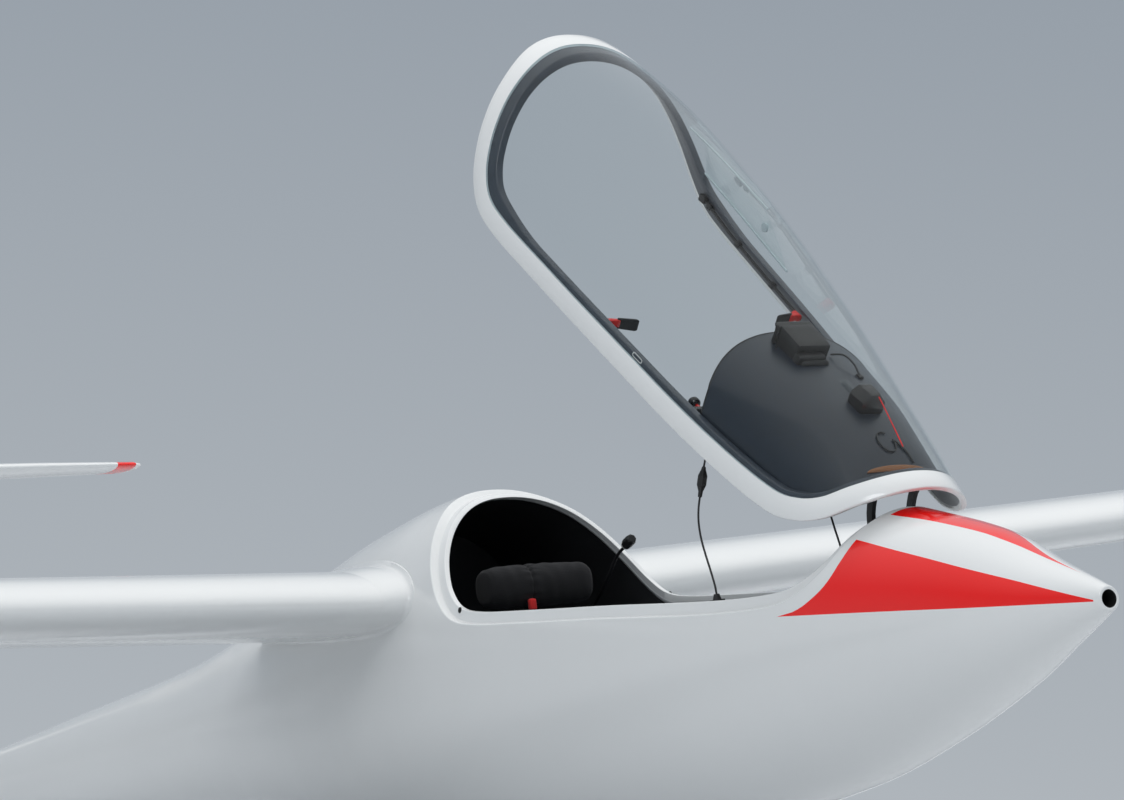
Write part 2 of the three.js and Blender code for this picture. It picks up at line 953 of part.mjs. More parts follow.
function controlStick() {
  const stem = new THREE.CylinderGeometry(9, 11, 250, 12).rotateX(Math.PI / 2);
  const grip = new THREE.CylinderGeometry(17, 14, 110, 14).rotateX(Math.PI / 2);
  const boot = new THREE.CylinderGeometry(20, 55, 60, 16).rotateX(Math.PI / 2);
  const lean = 0.12;
  const base = [1120, 0, -262];
  const place = (geometry, up) =>
    solid(geometry.translate(0, 0, up).rotateY(lean).translate(...base));
  return insideCabin(place(boot, 0).add(place(stem, 100)).add(place(grip, 250)));
}

function pedals() {
  const bar = crossBar(9, [760, -205], -230, 230, 16);
  const plate = (side) =>
    block([-5, side * 70 - 45, -30], [5, side * 70 + 45, 130])
      .rotateY(0.35)
      .translate(760, 0, -205);
  return insideCabin(solid(bar).add(solid(plate(-1))).add(solid(plate(1))));
}

// Gooseneck microphone on the port side of the bulkhead
function microphone() {
  const route = [
    [2164, -196, 195],
    [2110, -192, 226],
    [2030, -176, 268],
    [1940, -150, 306],
    [1880, -136, 322],
  ].map((p) => new THREE.Vector3(...p));
  const stem = new THREE.ExtrudeGeometry(polygon(4, 8), {
    steps: 14,
    extrudePath: new THREE.CatmullRomCurve3(route),
  });
  const head = new THREE.CylinderGeometry(13, 13, 62, 14)
    .rotateZ(Math.PI / 2)
    .rotateY(0.22)
    .rotateZ(-0.2)
    .translate(1856, -130, 328);
  return solid(stem).add(solid(head)).subtract(solid(block([2164.7, -400, 0], [2400, 400, 400])));
}

function polygon(radius, sides) {
  return new THREE.Shape(
    Array.from({ length: sides }, (_, i) => {
      const angle = (2 * Math.PI * i) / sides;
      return new THREE.Vector2(radius * Math.cos(angle), radius * Math.sin(angle));
    }),
  );
}

function tube(route, radius, steps, sides = 8) {
  return new THREE.ExtrudeGeometry(polygon(radius, sides), {
    steps,
    extrudePath: new THREE.CatmullRomCurve3(route.map((p) => new THREE.Vector3(...p))),
  });
}

// Length of lead along a route, as a thin tube.
function lead(route) {
  const length = new THREE.CatmullRomCurve3(route.map((p) => new THREE.Vector3(...p))).getLength();
  return tube(route, leadRadius, Math.round(length / (5 * leadRadius)));
}

// Canopy pieces, drawn closed
function hingeBracket() {
  const half = armSpacing + armThickness / 2 + 16;
  const cheek = (y) =>
    block([cabinStart + fitGap, y - 5, hingeHeight - 22], [hingeStation + 14, y + 5, hingeHeight + 14]);
  const bar = crossBar(hingeTubeRadius, [hingeStation, hingeHeight], -half, half, 20);
  return insideCabin(
    solid(bar)
      .add(solid(cheek(half - 5)))
      .add(solid(cheek(-half + 5)))
      .add(solid(cheek(0))),
  );
}

function hingeArm(side) {
  const path = [
    [hingeStation, hingeHeight],
    [558, 113],
    [617, 99],
    [662, 133],
    [677, 184],
    [660, 232],
    [640, 275],
  ];
  const from = side * armSpacing - armThickness / 2;
  const to = from + armThickness;
  return solid(sidePlate(strip(path, 18, 24), from, to))
    .add(solid(crossBar(18, path[0], from, to)))
    .subtract(solid(crossBar(hingeTubeRadius + axleClearance, path[0], from - 5, to + 5)))
    .intersect(body(440, 900, innerFrameDepth + fitGap));
}

function canopyFrame() {
  return canopyLayer(0, canopyFrameDepth)
    .intersect(canopySpace(canopyGap))
    .subtract(canopySpace(canopyGap + canopyBand));
}

function innerFrame() {
  const edge = canopyGap + canopyBand + fitGap;
  return canopyLayer(glassThickness + 2 * fitGap, innerFrameDepth)
    .intersect(canopySpace(edge))
    .subtract(canopySpace(edge + innerFrameWidth));
}

function canopyGlass() {
  return canopyLayer(fitGap, glassThickness + fitGap).intersect(
    canopySpace(canopyGap + canopyBand + fitGap),
  );
}

// Instrument cover. Columns: station, base height, top height. Its foot lies along the inner frame.
const cowlSections = [
  [690, 130, 236],
  [760, 132, 262],
  [880, 138, 285],
  [1020, 146, 293],
  [1160, 154, 295],
  [1260, 160, 292],
];
const cowlInset = innerFrameDepth + 4;

function cowlRing([station, base, top], inset) {
  const arc = 18;
  const half = sideAt(station, base, cowlInset) - inset;
  return Array.from({ length: arc + 1 }, (_, i) => {
    const angle = (Math.PI * i) / arc;
    return new THREE.Vector3(
      station,
      half * rounded(Math.cos(angle), 2.15),
      base + (top - inset - base) * rounded(Math.sin(angle), 2.15),
    );
  });
}

function cowlCut() {
  const [side, centre, reach] = [1060, 1166, 400];
  const shape = new THREE.Shape();
  shape.moveTo(600, -reach);
  shape.lineTo(side, -reach);
  shape.lineTo(side, -240);
  shape.quadraticCurveTo(centre, -160, centre, 0);
  shape.quadraticCurveTo(centre, 160, side, 240);
  shape.lineTo(side, reach);
  shape.lineTo(600, reach);
  return solid(
    new THREE.ExtrudeGeometry(shape, { depth: 600, bevelEnabled: false, curveSegments: 6 }),
  );
}

function glareshield() {
  const wall = 6;
  const outer = solid(loft(cowlSections.map((row) => cowlRing(row, 0))));
  const hollow = cowlSections.map(([station, base, top], i) =>
    cowlRing([i === 0 ? station + wall : station, base - 4, top], wall),
  );
  hollow.push(hollow[hollow.length - 1].map((p) => p.clone().setX(p.x + 40)));
  return outer
    .subtract(solid(loft(hollow)))
    .intersect(body(600, 1400, innerFrameDepth + fitGap))
    .intersect(canopySpace(flangeReach + canopyClearance))
    .intersect(cowlCut());
}

function instrumentPanel() {
  const inset = 9;
  const [station, thickness] = [1060, 6];
  const plate = solid(
    loft([station, station + thickness].map((place) => cowlRing([place, 150, 293], inset))),
  ).intersect(body(600, 1400, innerFrameDepth + fitGap));
  const dials = [
    [-52, 218, 40],
    [52, 218, 40],
    [-130, 196, 29],
    [130, 196, 29],
  ];
  return dials.reduce((panel, [y, height, radius]) => {
    const dial = new THREE.CylinderGeometry(radius, radius, thickness + 2, 24)
      .rotateZ(Math.PI / 2)
      .translate(station + thickness + 3, y, height);
    return panel.add(solid(dial));
  }, plate);
}

const overCowl = () => solid(loft(cowlSections.map((row) => cowlRing(row, -fitGap))));

function flightDisplay() {
  const [station, y, height] = displayPlace;
  const housing = block([-46, -42, -30], [40, 42, 30]).rotateY(-0.1).translate(station, y, height);
  return solid(housing).intersect(body(600, 1400, glassThickness + 8)).subtract(overCowl());
}

function compass() {
  const [station, y, height] = compassPlace;
  const drum = new THREE.CylinderGeometry(compassRadius, compassRadius - 4, 52, 16)
    .rotateZ(Math.PI / 2)
    .translate(station, y, height);
  const foot = block([-20, -16, -60], [20, 16, -20]).translate(station, y, height);
  return solid(drum)
    .add(solid(foot))
    .intersect(body(600, 1400, glassThickness + 4))
    .subtract(overCowl());
}

// Latch rod and handle, on the inner side of one rail. Columns of the route: station and height.
function canopyLatch(side) {
  const radius = 4;
  const route = [
    [1440, 194],
    [1600, 208],
    [1780, 224],
    [1925, 246],
  ];
  const depth = innerFrameDepth + 4 * fitGap;
  const place = ([station, height], out) => [station, side * sideAt(station, height, depth + out), height];
  const rod = tube(route.map((p) => place(p, radius)), radius, 14);
  const [station, inside, height] = place(route[0], 10);
  const collar = new THREE.CylinderGeometry(9, 9, 24, 12)
    .rotateZ(Math.PI / 2)
    .translate(station, inside, height);
  const paddle = block([-82, -5, -13], [-8, 5, 13]).translate(station, inside, height);
  return solid(rod)
    .add(solid(collar))
    .add(solid(paddle))
    .intersect(body(600, 2400, innerFrameDepth + fitGap));
}

function releaseKnob() {
  const [station, height] = [1094, 166];
  const inside = sideAt(station, height, innerFrameDepth);
  const y = inside - 17;
  const foot = block([station - 8, y - 7, height - 7], [station + 8, inside + 5, height + 7]);
  const stem = new THREE.CylinderGeometry(4.5, 4.5, 26, 12)
    .rotateZ(Math.PI / 2)
    .translate(station + 14, y, height);
  const ball = new THREE.SphereGeometry(13, 12, 8).translate(station + 32, y, height);
  return solid(stem)
    .add(solid(ball))
    .add(solid(foot))
    .intersect(body(600, 2400, innerFrameDepth + fitGap));
}

// Clear sliding window, against the inside of the port glass. Columns of the outline: station and height.
function sideWindow() {
  const depth = glassThickness + 2 * fitGap;
  const outline = [
    [1560, 240],
    [1950, 284],
    [1930, 372],
    [1640, 360],
  ].map(([x, z]) => new THREE.Vector2(x, z));
  return canopyLayer(depth, depth + windowThickness).intersect(
    solid(sidePlate(outline, -400, -60)),
  );
}

// Red wool thread on the top of the glass, taped down at its front end
function yawString() {
  const [front, back] = [690, 826];
  const count = 5;
  const route = Array.from({ length: count + 1 }, (_, i) => {
    const station = front + (i * (back - front)) / count;
    const y = 42 - (18 * i) / count;
    return [station, y, topAt(station, y) + yawStringRadius + fitGap];
  });
  return tube(route, yawStringRadius, 24);
}

// Plug that hangs from the starboard rail of the canopy
function cableConnector() {
  const [x, y, z] = connectorFoot;
  const [neckX, neckZ] = [14, 64];
  const lean = Math.atan2(neckX, neckZ);
  const length = Math.hypot(neckX, neckZ);
  const outline = [
    [0, 0],
    [4.5, 0],
    [5, 12],
    [10, 26],
    [10, 46],
    [5, 60],
    [4, length],
    [0, length],
  ].map(([radius, up]) => new THREE.Vector2(radius, up));
  const housing = new THREE.LatheGeometry(outline, 12).rotateX(Math.PI / 2).rotateY(lean);
  const neck = tube(
    [
      [x + neckX, y, z + neckZ - 4],
      [x + 19, y, z + 96],
      [x + 24, y, z + 130],
      [x + 26, y, z + 147],
    ],
    leadRadius,
    10,
  );
  const clip = block([x + 18, y - 4, z + 141], [x + 38, y + 50, z + 153]);
  return solid(housing.translate(x, y, z))
    .add(solid(neck))
    .add(solid(clip))
    .intersect(body(600, 1400, canopyFrameDepth + fitGap));
}

// Socket on the starboard sill, and the block where the panel's lead ends in the footwell
function cableSocket() {
  const [x, y, z] = socketTop;
  const face = canopyLayer(flangeTop, flangeBottom + fitGap);
  const base = block([x - 15, y - 10, z - 30], [x + 15, y + 60, z - 12]);
  const collar = new THREE.CylinderGeometry(6, 10, 14, 12).rotateX(Math.PI / 2).translate(x, y, z - 7);
  return solid(base).add(solid(collar)).intersect(body(600, 1400, flangeBottom + fitGap)).subtract(face);
}

function cableBlock() {
  const [x, y, z] = blockFace;
  return insideCabin(solid(block([x - 15, y, z - 14], [x + 15, y + 100, z + 14])));
}

// Release hook for a tow rope, under the belly. Columns of the outline: station and height.
function towHook() {
  const outline = [
    [2060, -340],
    [2060, -368],
    [2082, towHookLow],
    [2118, towHookLow],
    [2118, towHookLow + 8],
    [2094, towHookLow + 10],
    [2086, towHookLow + 16],
    [2146, towHookLow + 18],
    [2146, -340],
  ].map(([x, z]) => new THREE.Vector2(x, z));
  const halfWidth = 9;
  return solid(sidePlate(outline, -halfWidth, halfWidth)).subtract(body(1800, 2400, -fitGap));
}

// Build
const airframe = new THREE.Group();
const canopy = new THREE.Group();
const canopyDrawing = new THREE.Group();
canopy.position.set(hingeStation, 0, hingeHeight);
canopy.rotation.y = THREE.MathUtils.degToRad(-canopyOpen);
canopyDrawing.position.set(-hingeStation, 0, -hingeHeight);
canopy.add(canopyDrawing);
airframe.add(canopy);

function add(parent, name, shape, material) {
  const geometry = shape.isBufferGeometry ? shape : surface(shape);
  const mesh = new THREE.Mesh(geometry, material);
  mesh.name = name;
  parent.add(mesh);
}

add(airframe, "fuselage", fuselage(), gelcoat);
add(airframe, "tail_boom", tailBoom(), gelcoat);
add(airframe, "fin", fin(), gelcoat);
add(airframe, "rudder", rudder(), gelcoat);
add(airframe, "tailplane", tailplane(), gelcoat);
add(airframe, "elevator", elevator(), gelcoat);
for (const [name, side] of [
  ["right", 1],
  ["left", -1],
]) {
  const surfaces = { flap: flapSpan, aileron: aileronSpan };
  add(airframe, "wing_" + name, wing(side), gelcoat);
  for (const [kind, span] of Object.entries(surfaces)) {
    add(airframe, kind + "_" + name, solid(loft(span.map((y) => trailingRing(side, y)))), gelcoat);
  }
  add(airframe, "airbrake_" + name, airbrake(side), aluminium);
  add(airframe, "tip_skid_" + name, tipSkid(side), black);
  add(airframe, "gear_door_" + name, gearDoor(side), gelcoat);
  add(airframe, "arm_rest_" + name, armRest(side), black);
  add(canopyDrawing, "hinge_arm_" + name, hingeArm(side), black);
  add(canopyDrawing, "canopy_latch_" + name, canopyLatch(side), black);
}

const mainRim = 82;
const tailRim = 46;
add(airframe, "gear_frame", gearFrame(), steel);
add(airframe, "main_axle", crossBar(axleRadius, mainAxle, -88, 88), steel);
add(airframe, "main_hub", hub(mainRim, 104, mainAxle), aluminium);
add(airframe, "main_tyre", tyre(mainRadius, mainWidth, mainRim, mainAxle), rubber);
add(airframe, "tail_wheel_mount", tailWheelMount(), gelcoat);
add(airframe, "tail_hub", hub(tailRim, 50, tailAxle), aluminium);
add(airframe, "tail_tyre", tyre(tailRadius, tailWidth, tailRim, tailAxle), rubber);
add(airframe, "seat_pan", seatPan(), slate);
add(airframe, "seat_cushion", cushion(0.03, 0.46, 38, 165), fabric);
add(airframe, "back_cushion", cushion(0.53, 0.86, 42, 165), fabric);
add(airframe, "headrest", headrest(), fabric);
add(airframe, "rear_bulkhead", rearBulkhead(), black);
add(airframe, "control_stick", controlStick(), black);
add(airframe, "rudder_pedals", pedals(), aluminium);
add(airframe, "microphone", microphone(), black);
add(airframe, "hinge_bracket", hingeBracket(), steel);
add(canopyDrawing, "canopy_frame", canopyFrame(), gelcoat);
add(canopyDrawing, "canopy_inner_frame", innerFrame(), slate);
add(canopyDrawing, "canopy_glass", canopyGlass(), clear);
add(canopyDrawing, "glareshield", glareshield(), slate);
add(canopyDrawing, "instrument_panel", instrumentPanel(), black);
add(canopyDrawing, "flight_display", flightDisplay(), black);
add(canopyDrawing, "compass", compass(), black);
add(canopyDrawing, "release_knob", releaseKnob(), red);
add(canopyDrawing, "side_window", sideWindow(), clear);
add(canopyDrawing, "yaw_string", yawString(), red);
add(canopyDrawing, "cable_connector", cableConnector(), black);
add(airframe, "cable_socket", cableSocket(), black);
add(airframe, "cable_block", cableBlock(), black);
add(airframe, "tow_hook", towHook(), steel);
const leads = { canopy_lead: canopyLeadRoute, panel_lead: panelLeadRoute };
for (const [name, route] of Object.entries(leads)) add(airframe, name, lead(route), black);

// Park it: one wing down, on the ground, with the origin under the middle of its box.
airframe.rotation.set(
  THREE.MathUtils.degToRad(rollToStarboard),
  THREE.MathUtils.degToRad(-noseUp),
  Math.PI,
);
const glider = new THREE.Group();
glider.add(airframe);
glider.updateMatrixWorld(true);
const box = new THREE.Box3().setFromObject(glider, true);
const middle = box.getCenter(new THREE.Vector3());
airframe.position.set(-middle.x, -middle.y, -box.min.z);

export default glider;
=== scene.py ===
"""Looks of the parked sailplane: fine shapes, materials, soft parts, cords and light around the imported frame.

Lengths are millimetres in the airframe's own axes: +X aft from the nose tip, +Y to starboard, +Z up.
piece() turns them into metres and puts each piece in the parked attitude. The canopy is drawn closed
and lifted about its hinge.
"""

import json
import math

import bmesh
import bpy
import numpy as np
from mathutils import Matrix, Vector


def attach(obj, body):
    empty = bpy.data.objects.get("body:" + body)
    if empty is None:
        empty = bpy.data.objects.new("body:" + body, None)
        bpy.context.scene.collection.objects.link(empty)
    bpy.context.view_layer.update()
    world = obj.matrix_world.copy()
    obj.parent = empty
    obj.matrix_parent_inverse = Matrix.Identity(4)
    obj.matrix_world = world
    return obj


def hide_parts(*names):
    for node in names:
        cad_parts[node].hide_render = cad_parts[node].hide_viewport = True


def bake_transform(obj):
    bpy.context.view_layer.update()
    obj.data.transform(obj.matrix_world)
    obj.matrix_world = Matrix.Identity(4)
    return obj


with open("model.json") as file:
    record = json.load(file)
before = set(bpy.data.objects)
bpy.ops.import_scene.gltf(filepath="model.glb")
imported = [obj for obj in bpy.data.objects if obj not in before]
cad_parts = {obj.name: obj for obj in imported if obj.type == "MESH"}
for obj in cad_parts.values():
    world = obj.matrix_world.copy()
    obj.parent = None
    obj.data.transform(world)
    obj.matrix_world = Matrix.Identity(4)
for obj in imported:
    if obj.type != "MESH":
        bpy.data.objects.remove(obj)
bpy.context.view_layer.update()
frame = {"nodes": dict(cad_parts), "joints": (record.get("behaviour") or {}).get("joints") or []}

# Parked attitude, in degrees, and the canopy's hinge
ROLL_TO_STARBOARD = 8.61
NOSE_UP = 5.65
CANOPY_OPEN = 37.9
HINGE = (507, 0, 166)
MAIN_AXLE = (2450, 0, -402)
TAIL_AXLE = (6235, 0, -112)
AXLE_RADIUS = 12.5

# Fuselage. Columns: station, top, bottom, height of the widest point, half width, exponents of the
# upper and the lower half ellipse.
BODY = [
    (0, 24, -24, 0, 24, 2, 2),
    (60, 51, -48, 0, 51, 2, 2),
    (160, 95, -87, 0, 93, 2, 2),
    (320, 174, -152, 4, 151, 2, 2),
    (573, 250, -235, 12, 198, 2, 2.05),
    (850, 330, -300, 24, 240, 1.95, 2.1),
    (1200, 417, -340, 36, 281, 2, 2.2),
    (1600, 489, -360, 46, 305, 2.1, 2.2),
    (2000, 516, -360, 54, 320, 2.2, 2.2),
    (2270, 508, -352, 60, 317, 2.2, 2.2),
    (2600, 470, -328, 66, 298, 2.2, 2.2),
    (3000, 400, -272, 66, 250, 2.15, 2.15),
    (3400, 322, -206, 62, 202, 2.1, 2.1),
    (3900, 246, -160, 48, 165, 2, 2),
    (4700, 182, -132, 26, 132, 2, 2),
    (5600, 110, -112, 0, 103, 2, 2),
    (6440, 50, -94, -20, 74, 2, 2),
]
POD_END = 3600
BOOM_END = 6437
CABIN = (330, 2560)
CABIN_WALL = 28
SHELF = (2150, 60)
BAY = (2225, 2700, 96, -25)
BELLY_CUT = (-500, -200)
TAIL_WELL = {"reach": 107, "half": 36, "low": -300, "roof": -9}

# Line where the canopy meets the fuselage, seen from the side: station and height
PARTING = [
    (566, 320),
    (572, 268),
    (590, 232),
    (618, 190),
    (655, 142),
    (715, 105),
    (800, 87),
    (1000, 94),
    (1350, 125),
    (1650, 149),
    (1860, 168),
    (1955, 190),
    (2020, 237),
    (2070, 300),
    (2115, 370),
    (2160, 440),
    (2215, 500),
    (2262, 560),
]
CANOPY_GAP = 5
CANOPY_BAND = 45
FRAME_DEPTH = 14
LINING_WIDTH = 28
LINING_DEPTH = 22
GLASS = 4
FLANGE = (26, 18, 30)
FIT = 0.3

# Wing. Columns: distance from the centre line, leading edge station, chord, thickness share, height.
WING = [
    (360, 2165, 950, 0.165, 252),
    (4600, 2235, 760, 0.155, 467),
    (7290, 2415, 430, 0.14, 604),
    (7440, 2460, 345, 0.12, 612),
    (7500, 2520, 220, 0.09, 615),
]
ROOT_SKIN = [
    (150, 2147, 1000, 0.172, 253),
    (280, 2150, 990, 0.169, 253),
    (360, 2165, 950, 0.165, 252),
]
WING_ROOT = WING[0][0]
WING_TIP = WING[-1][0]
TIP_ROUNDING = 40
TIP_COLUMNS = 44
CAMBER = 0.03
CAMBER_PLACE = 0.45
HINGE_SHARE = 0.82
GAP = 5
FLAP = (386, 4584)
AILERON = (4616, 7270)
BRAKE = {"span": 2600, "share": 0.55, "length": 1180, "depth": 84, "blade": 6, "cap": 24}

# Tail. Columns: distance from the centre line, leading edge, trailing edge, thickness share.
TAILPLANE = [
    (0, 6365, 6802, 0.125),
    (700, 6470, 6803, 0.12),
    (1080, 6545, 6806, 0.11),
    (1120, 6580, 6800, 0.09),
    (1134, 6630, 6780, 0.06),
]
TAIL_HEIGHT = 1139
TAIL_COLUMNS = 40
TAIL_HINGE = 6690
ELEVATOR = 1060
# Columns: height, leading edge, trailing edge, thickness.
FIN = [
    (-110, 5480, 6790, 104),
    (60, 5600, 6838, 108),
    (600, 5935, 6822, 86),
    (1112, 6240, 6806, 60),
]
RUDDER = ((6475, -95), (6560, 1060))
FIN_COLUMNS = 44

# Cords, as the CAD lays them, with the canopy open
LEAD_RADIUS = 2.2
THREAD_RADIUS = 1.2
CANOPY_LEAD = [
    (1021.3, 210, 340.3),
    (1031, 210, 318),
    (1037, 210, 290),
    (1035, 210, 256),
    (1026, 210, 222),
    (1012, 210.5, 182),
    (1002, 211, 150),
    (1000, 211, 134.4),
]
PANEL_LEAD = [
    (928.2, 90, 524.3),
    (920, 90, 518),
    (872, 95, 470),
    (818, 98, 406),
    (757, 100, 328),
    (724, 100, 272),
    (706, 100, 218),
    (690, 98, 166),
    (664, 98, 122),
    (638, 103, 101),
    (620, 114, 94.5),
    (615, 123, 94),
    (615, 129.6, 94),
]
YAW_STRING = (690, 826, 2, -16)

# Camera, in metres in the airframe's axes, and in degrees
CAMERA = (-5.38331165, 4.46921061, -0.30894914)
CAMERA_YAW = -31.66096313
CAMERA_PITCH = 6.56413632
CAMERA_ROLL = -6.45108646
FOCAL_PIXELS = 3689.0
PICTURE_WIDTH = 1124
SENSOR = 36.0


# Places
def joint(name):
    return next(j for j in frame["joints"] if j["name"] == name)


turn = (
    Matrix.Rotation(math.radians(ROLL_TO_STARBOARD), 4, "X")
    @ Matrix.Rotation(math.radians(-NOSE_UP), 4, "Y")
    @ Matrix.Rotation(math.pi, 4, "Z")
)
wheel_centre = Vector(joint("main_wheel_spin")["pos_m"])
PARKED = Matrix.Translation(wheel_centre - turn @ (Vector(MAIN_AXLE) / 1000)) @ turn
hinge_place = Matrix.Translation(Vector(HINGE) / 1000)
LIFTED = PARKED @ hinge_place @ Matrix.Rotation(math.radians(-CANOPY_OPEN), 4, "Y") @ hinge_place.inverted()


def place_of(body):
    return LIFTED if body == "canopy" else PARKED


# Curves and sections
def along(table, column, place):
    """Smooth value of one column at places in the first column, with no overshoot."""
    rows = np.array(table, float)
    x, v = rows[:, 0], rows[:, column]
    slope = np.diff(v) / np.diff(x)
    before, after = slope[:-1], slope[1:]
    total = before + after
    same = before * after > 0
    middle = np.where(same, 2 * before * after / np.where(same, total, 1), 0)
    tangent = np.concatenate([slope[:1], middle, slope[-1:]])
    place = np.asarray(place, float)
    i = np.clip(np.searchsorted(x, place, side="right") - 1, 0, len(x) - 2)
    width = x[i + 1] - x[i]
    u = (place - x[i]) / width
    return (
        (2 * u**3 - 3 * u**2 + 1) * v[i]
        + (u**3 - 2 * u**2 + u) * width * tangent[i]
        + (3 * u**2 - 2 * u**3) * v[i + 1]
        + (u**3 - u**2) * width * tangent[i + 1]
    )


def straight(table, column, place):
    rows = np.array(table, float)
    return np.interp(place, rows[:, 0], rows[:, column])


def spline(points, count):
    """Smooth curve through points, evenly divided between each two."""
    p = np.array(points, float)
    padded = np.vstack([p[:1], p, p[-1:]])
    t = np.linspace(0, len(p) - 1, count)
    i = np.minimum(t.astype(int), len(p) - 2)
    u = (t - i)[:, None]
    a, b, c, d = (padded[i + k] for k in range(4))
    return (
        (2 * u**3 - 3 * u**2 + 1) * b
        + (u**3 - 2 * u**2 + u) * (c - a) / 2
        + (3 * u**2 - 2 * u**3) * c
        + (u**3 - u**2) * (d - b) / 2
    )


def even(points, count):
    """Points at equal distances along a polyline."""
    p = np.asarray(points, float)
    steps = np.concatenate([[0], np.cumsum(np.linalg.norm(np.diff(p, axis=0), axis=1))])
    wanted = np.linspace(0, steps[-1], count)
    return np.stack([np.interp(wanted, steps, p[:, k]) for k in range(p.shape[1])], axis=1)


def rounded(cosine, exponent):
    return np.sign(cosine) * np.abs(cosine) ** (2 / exponent)


def body_point(station, angle, inset=0.0):
    """Points of the fuselage skin, or of a surface inside it by the inset."""
    station, angle = np.broadcast_arrays(np.asarray(station, float), np.asarray(angle, float))
    top, bottom, middle, half, upper, lower = (along(BODY, k, station) for k in range(1, 7))
    above = np.sin(angle) >= 0
    exponent = np.where(above, upper, lower)
    rise = np.where(above, top - inset - middle, middle - bottom - inset)
    y = (half - inset) * rounded(np.cos(angle), exponent)
    z = middle + rise * rounded(np.sin(angle), exponent)
    return np.stack([station, y, z], axis=-1)


def body_side(station, height, inset=0.0):
    """Distance from the centre line to the skin's side, inside it by the inset."""
    top, bottom, middle, half, upper, lower = (along(BODY, k, station) for k in range(1, 7))
    above = height >= middle
    exponent = np.where(above, upper, lower)
    rise = np.where(above, top - inset - middle, middle - bottom - inset)
    share = np.clip(np.abs(height - middle) / rise, 0, 1)
    return (half - inset) * (1 - share**exponent) ** (1 / exponent)


def body_top(station, y, inset=0.0):
    top, middle, half, upper = (along(BODY, k, station) for k in (1, 3, 4, 5))
    share = np.clip(np.abs(y) / (half - inset), 0, 1)
    return middle + (top - inset - middle) * (1 - share**upper) ** (1 / upper)


parting = spline(PARTING, 4000)
tangents = np.gradient(parting, axis=0)
tangents /= np.linalg.norm(tangents, axis=1)[:, None]
normals = np.stack([-tangents[:, 1], tangents[:, 0]], axis=1)


def edge_height(station, offset):
    """Height of the parting line, moved into the canopy by an offset, at a station."""
    small = 6
    if abs(offset) <= small:
        moved = parting + normals * offset
        return np.interp(station, moved[:, 0], moved[:, 1], left=np.inf, right=np.inf)
    coarse = parting[::4]
    reach = offset**2 - (np.asarray(station)[:, None] - coarse[:, 0]) ** 2
    found = reach >= 0
    heights = np.where(found, coarse[:, 1] + np.sqrt(np.maximum(reach, 0)), -np.inf).max(axis=1)
    return np.where(found.any(axis=1), heights, np.inf)


RIM_POINTS = 200


def rim(offset, depth, count=RIM_POINTS):
    """Starboard half of the line where the moved parting line meets the skin at a depth, front to rear."""
    span = (PARTING[0][0] - 10, PARTING[-1][0] + 10)
    station = np.linspace(*span, 3000)
    gap = edge_height(station, offset) - along(BODY, 1, station) + depth
    inside = np.flatnonzero(gap < 0)
    ends = []
    for here, beyond in ((inside[0], inside[0] - 1), (inside[-1], inside[-1] + 1)):
        far = gap[beyond] if np.isfinite(gap[beyond]) else -gap[here]
        share = gap[here] / (gap[here] - far)
        ends.append(station[here] + share * (station[beyond] - station[here]))
    swing = (1 - np.cos(np.linspace(0, math.pi, 3000))) / 2
    station = ends[0] + (ends[1] - ends[0]) * swing
    height = edge_height(station, offset)
    top = along(BODY, 1, station) - depth
    height = np.minimum(height, top)
    height[0], height[-1] = top[0], top[-1]
    y = body_side(station, height, depth)
    y[0] = y[-1] = 0
    return even(np.stack([station, y, height], axis=1), count)


def rim_loop(offset, depth, count=RIM_POINTS):
    half = rim(offset, depth, count)
    return np.vstack([half, half[-2:0:-1] * (1, -1, 1)])


# Mesh helpers
def grid_faces(rows, columns, wrap=False, close=False, start=0):
    """Quads between rows of points. wrap joins each row's ends, close joins the last row to the first."""
    r = np.arange(rows if close else rows - 1)
    c = np.arange(columns if wrap else columns - 1)
    r, c = (a.ravel() for a in np.meshgrid(r, c, indexing="ij"))
    up, right = (r + 1) % rows, (c + 1) % columns
    quads = np.stack([r * columns + c, r * columns + right, up * columns + right, up * columns + c], axis=1)
    return (quads + start).tolist()


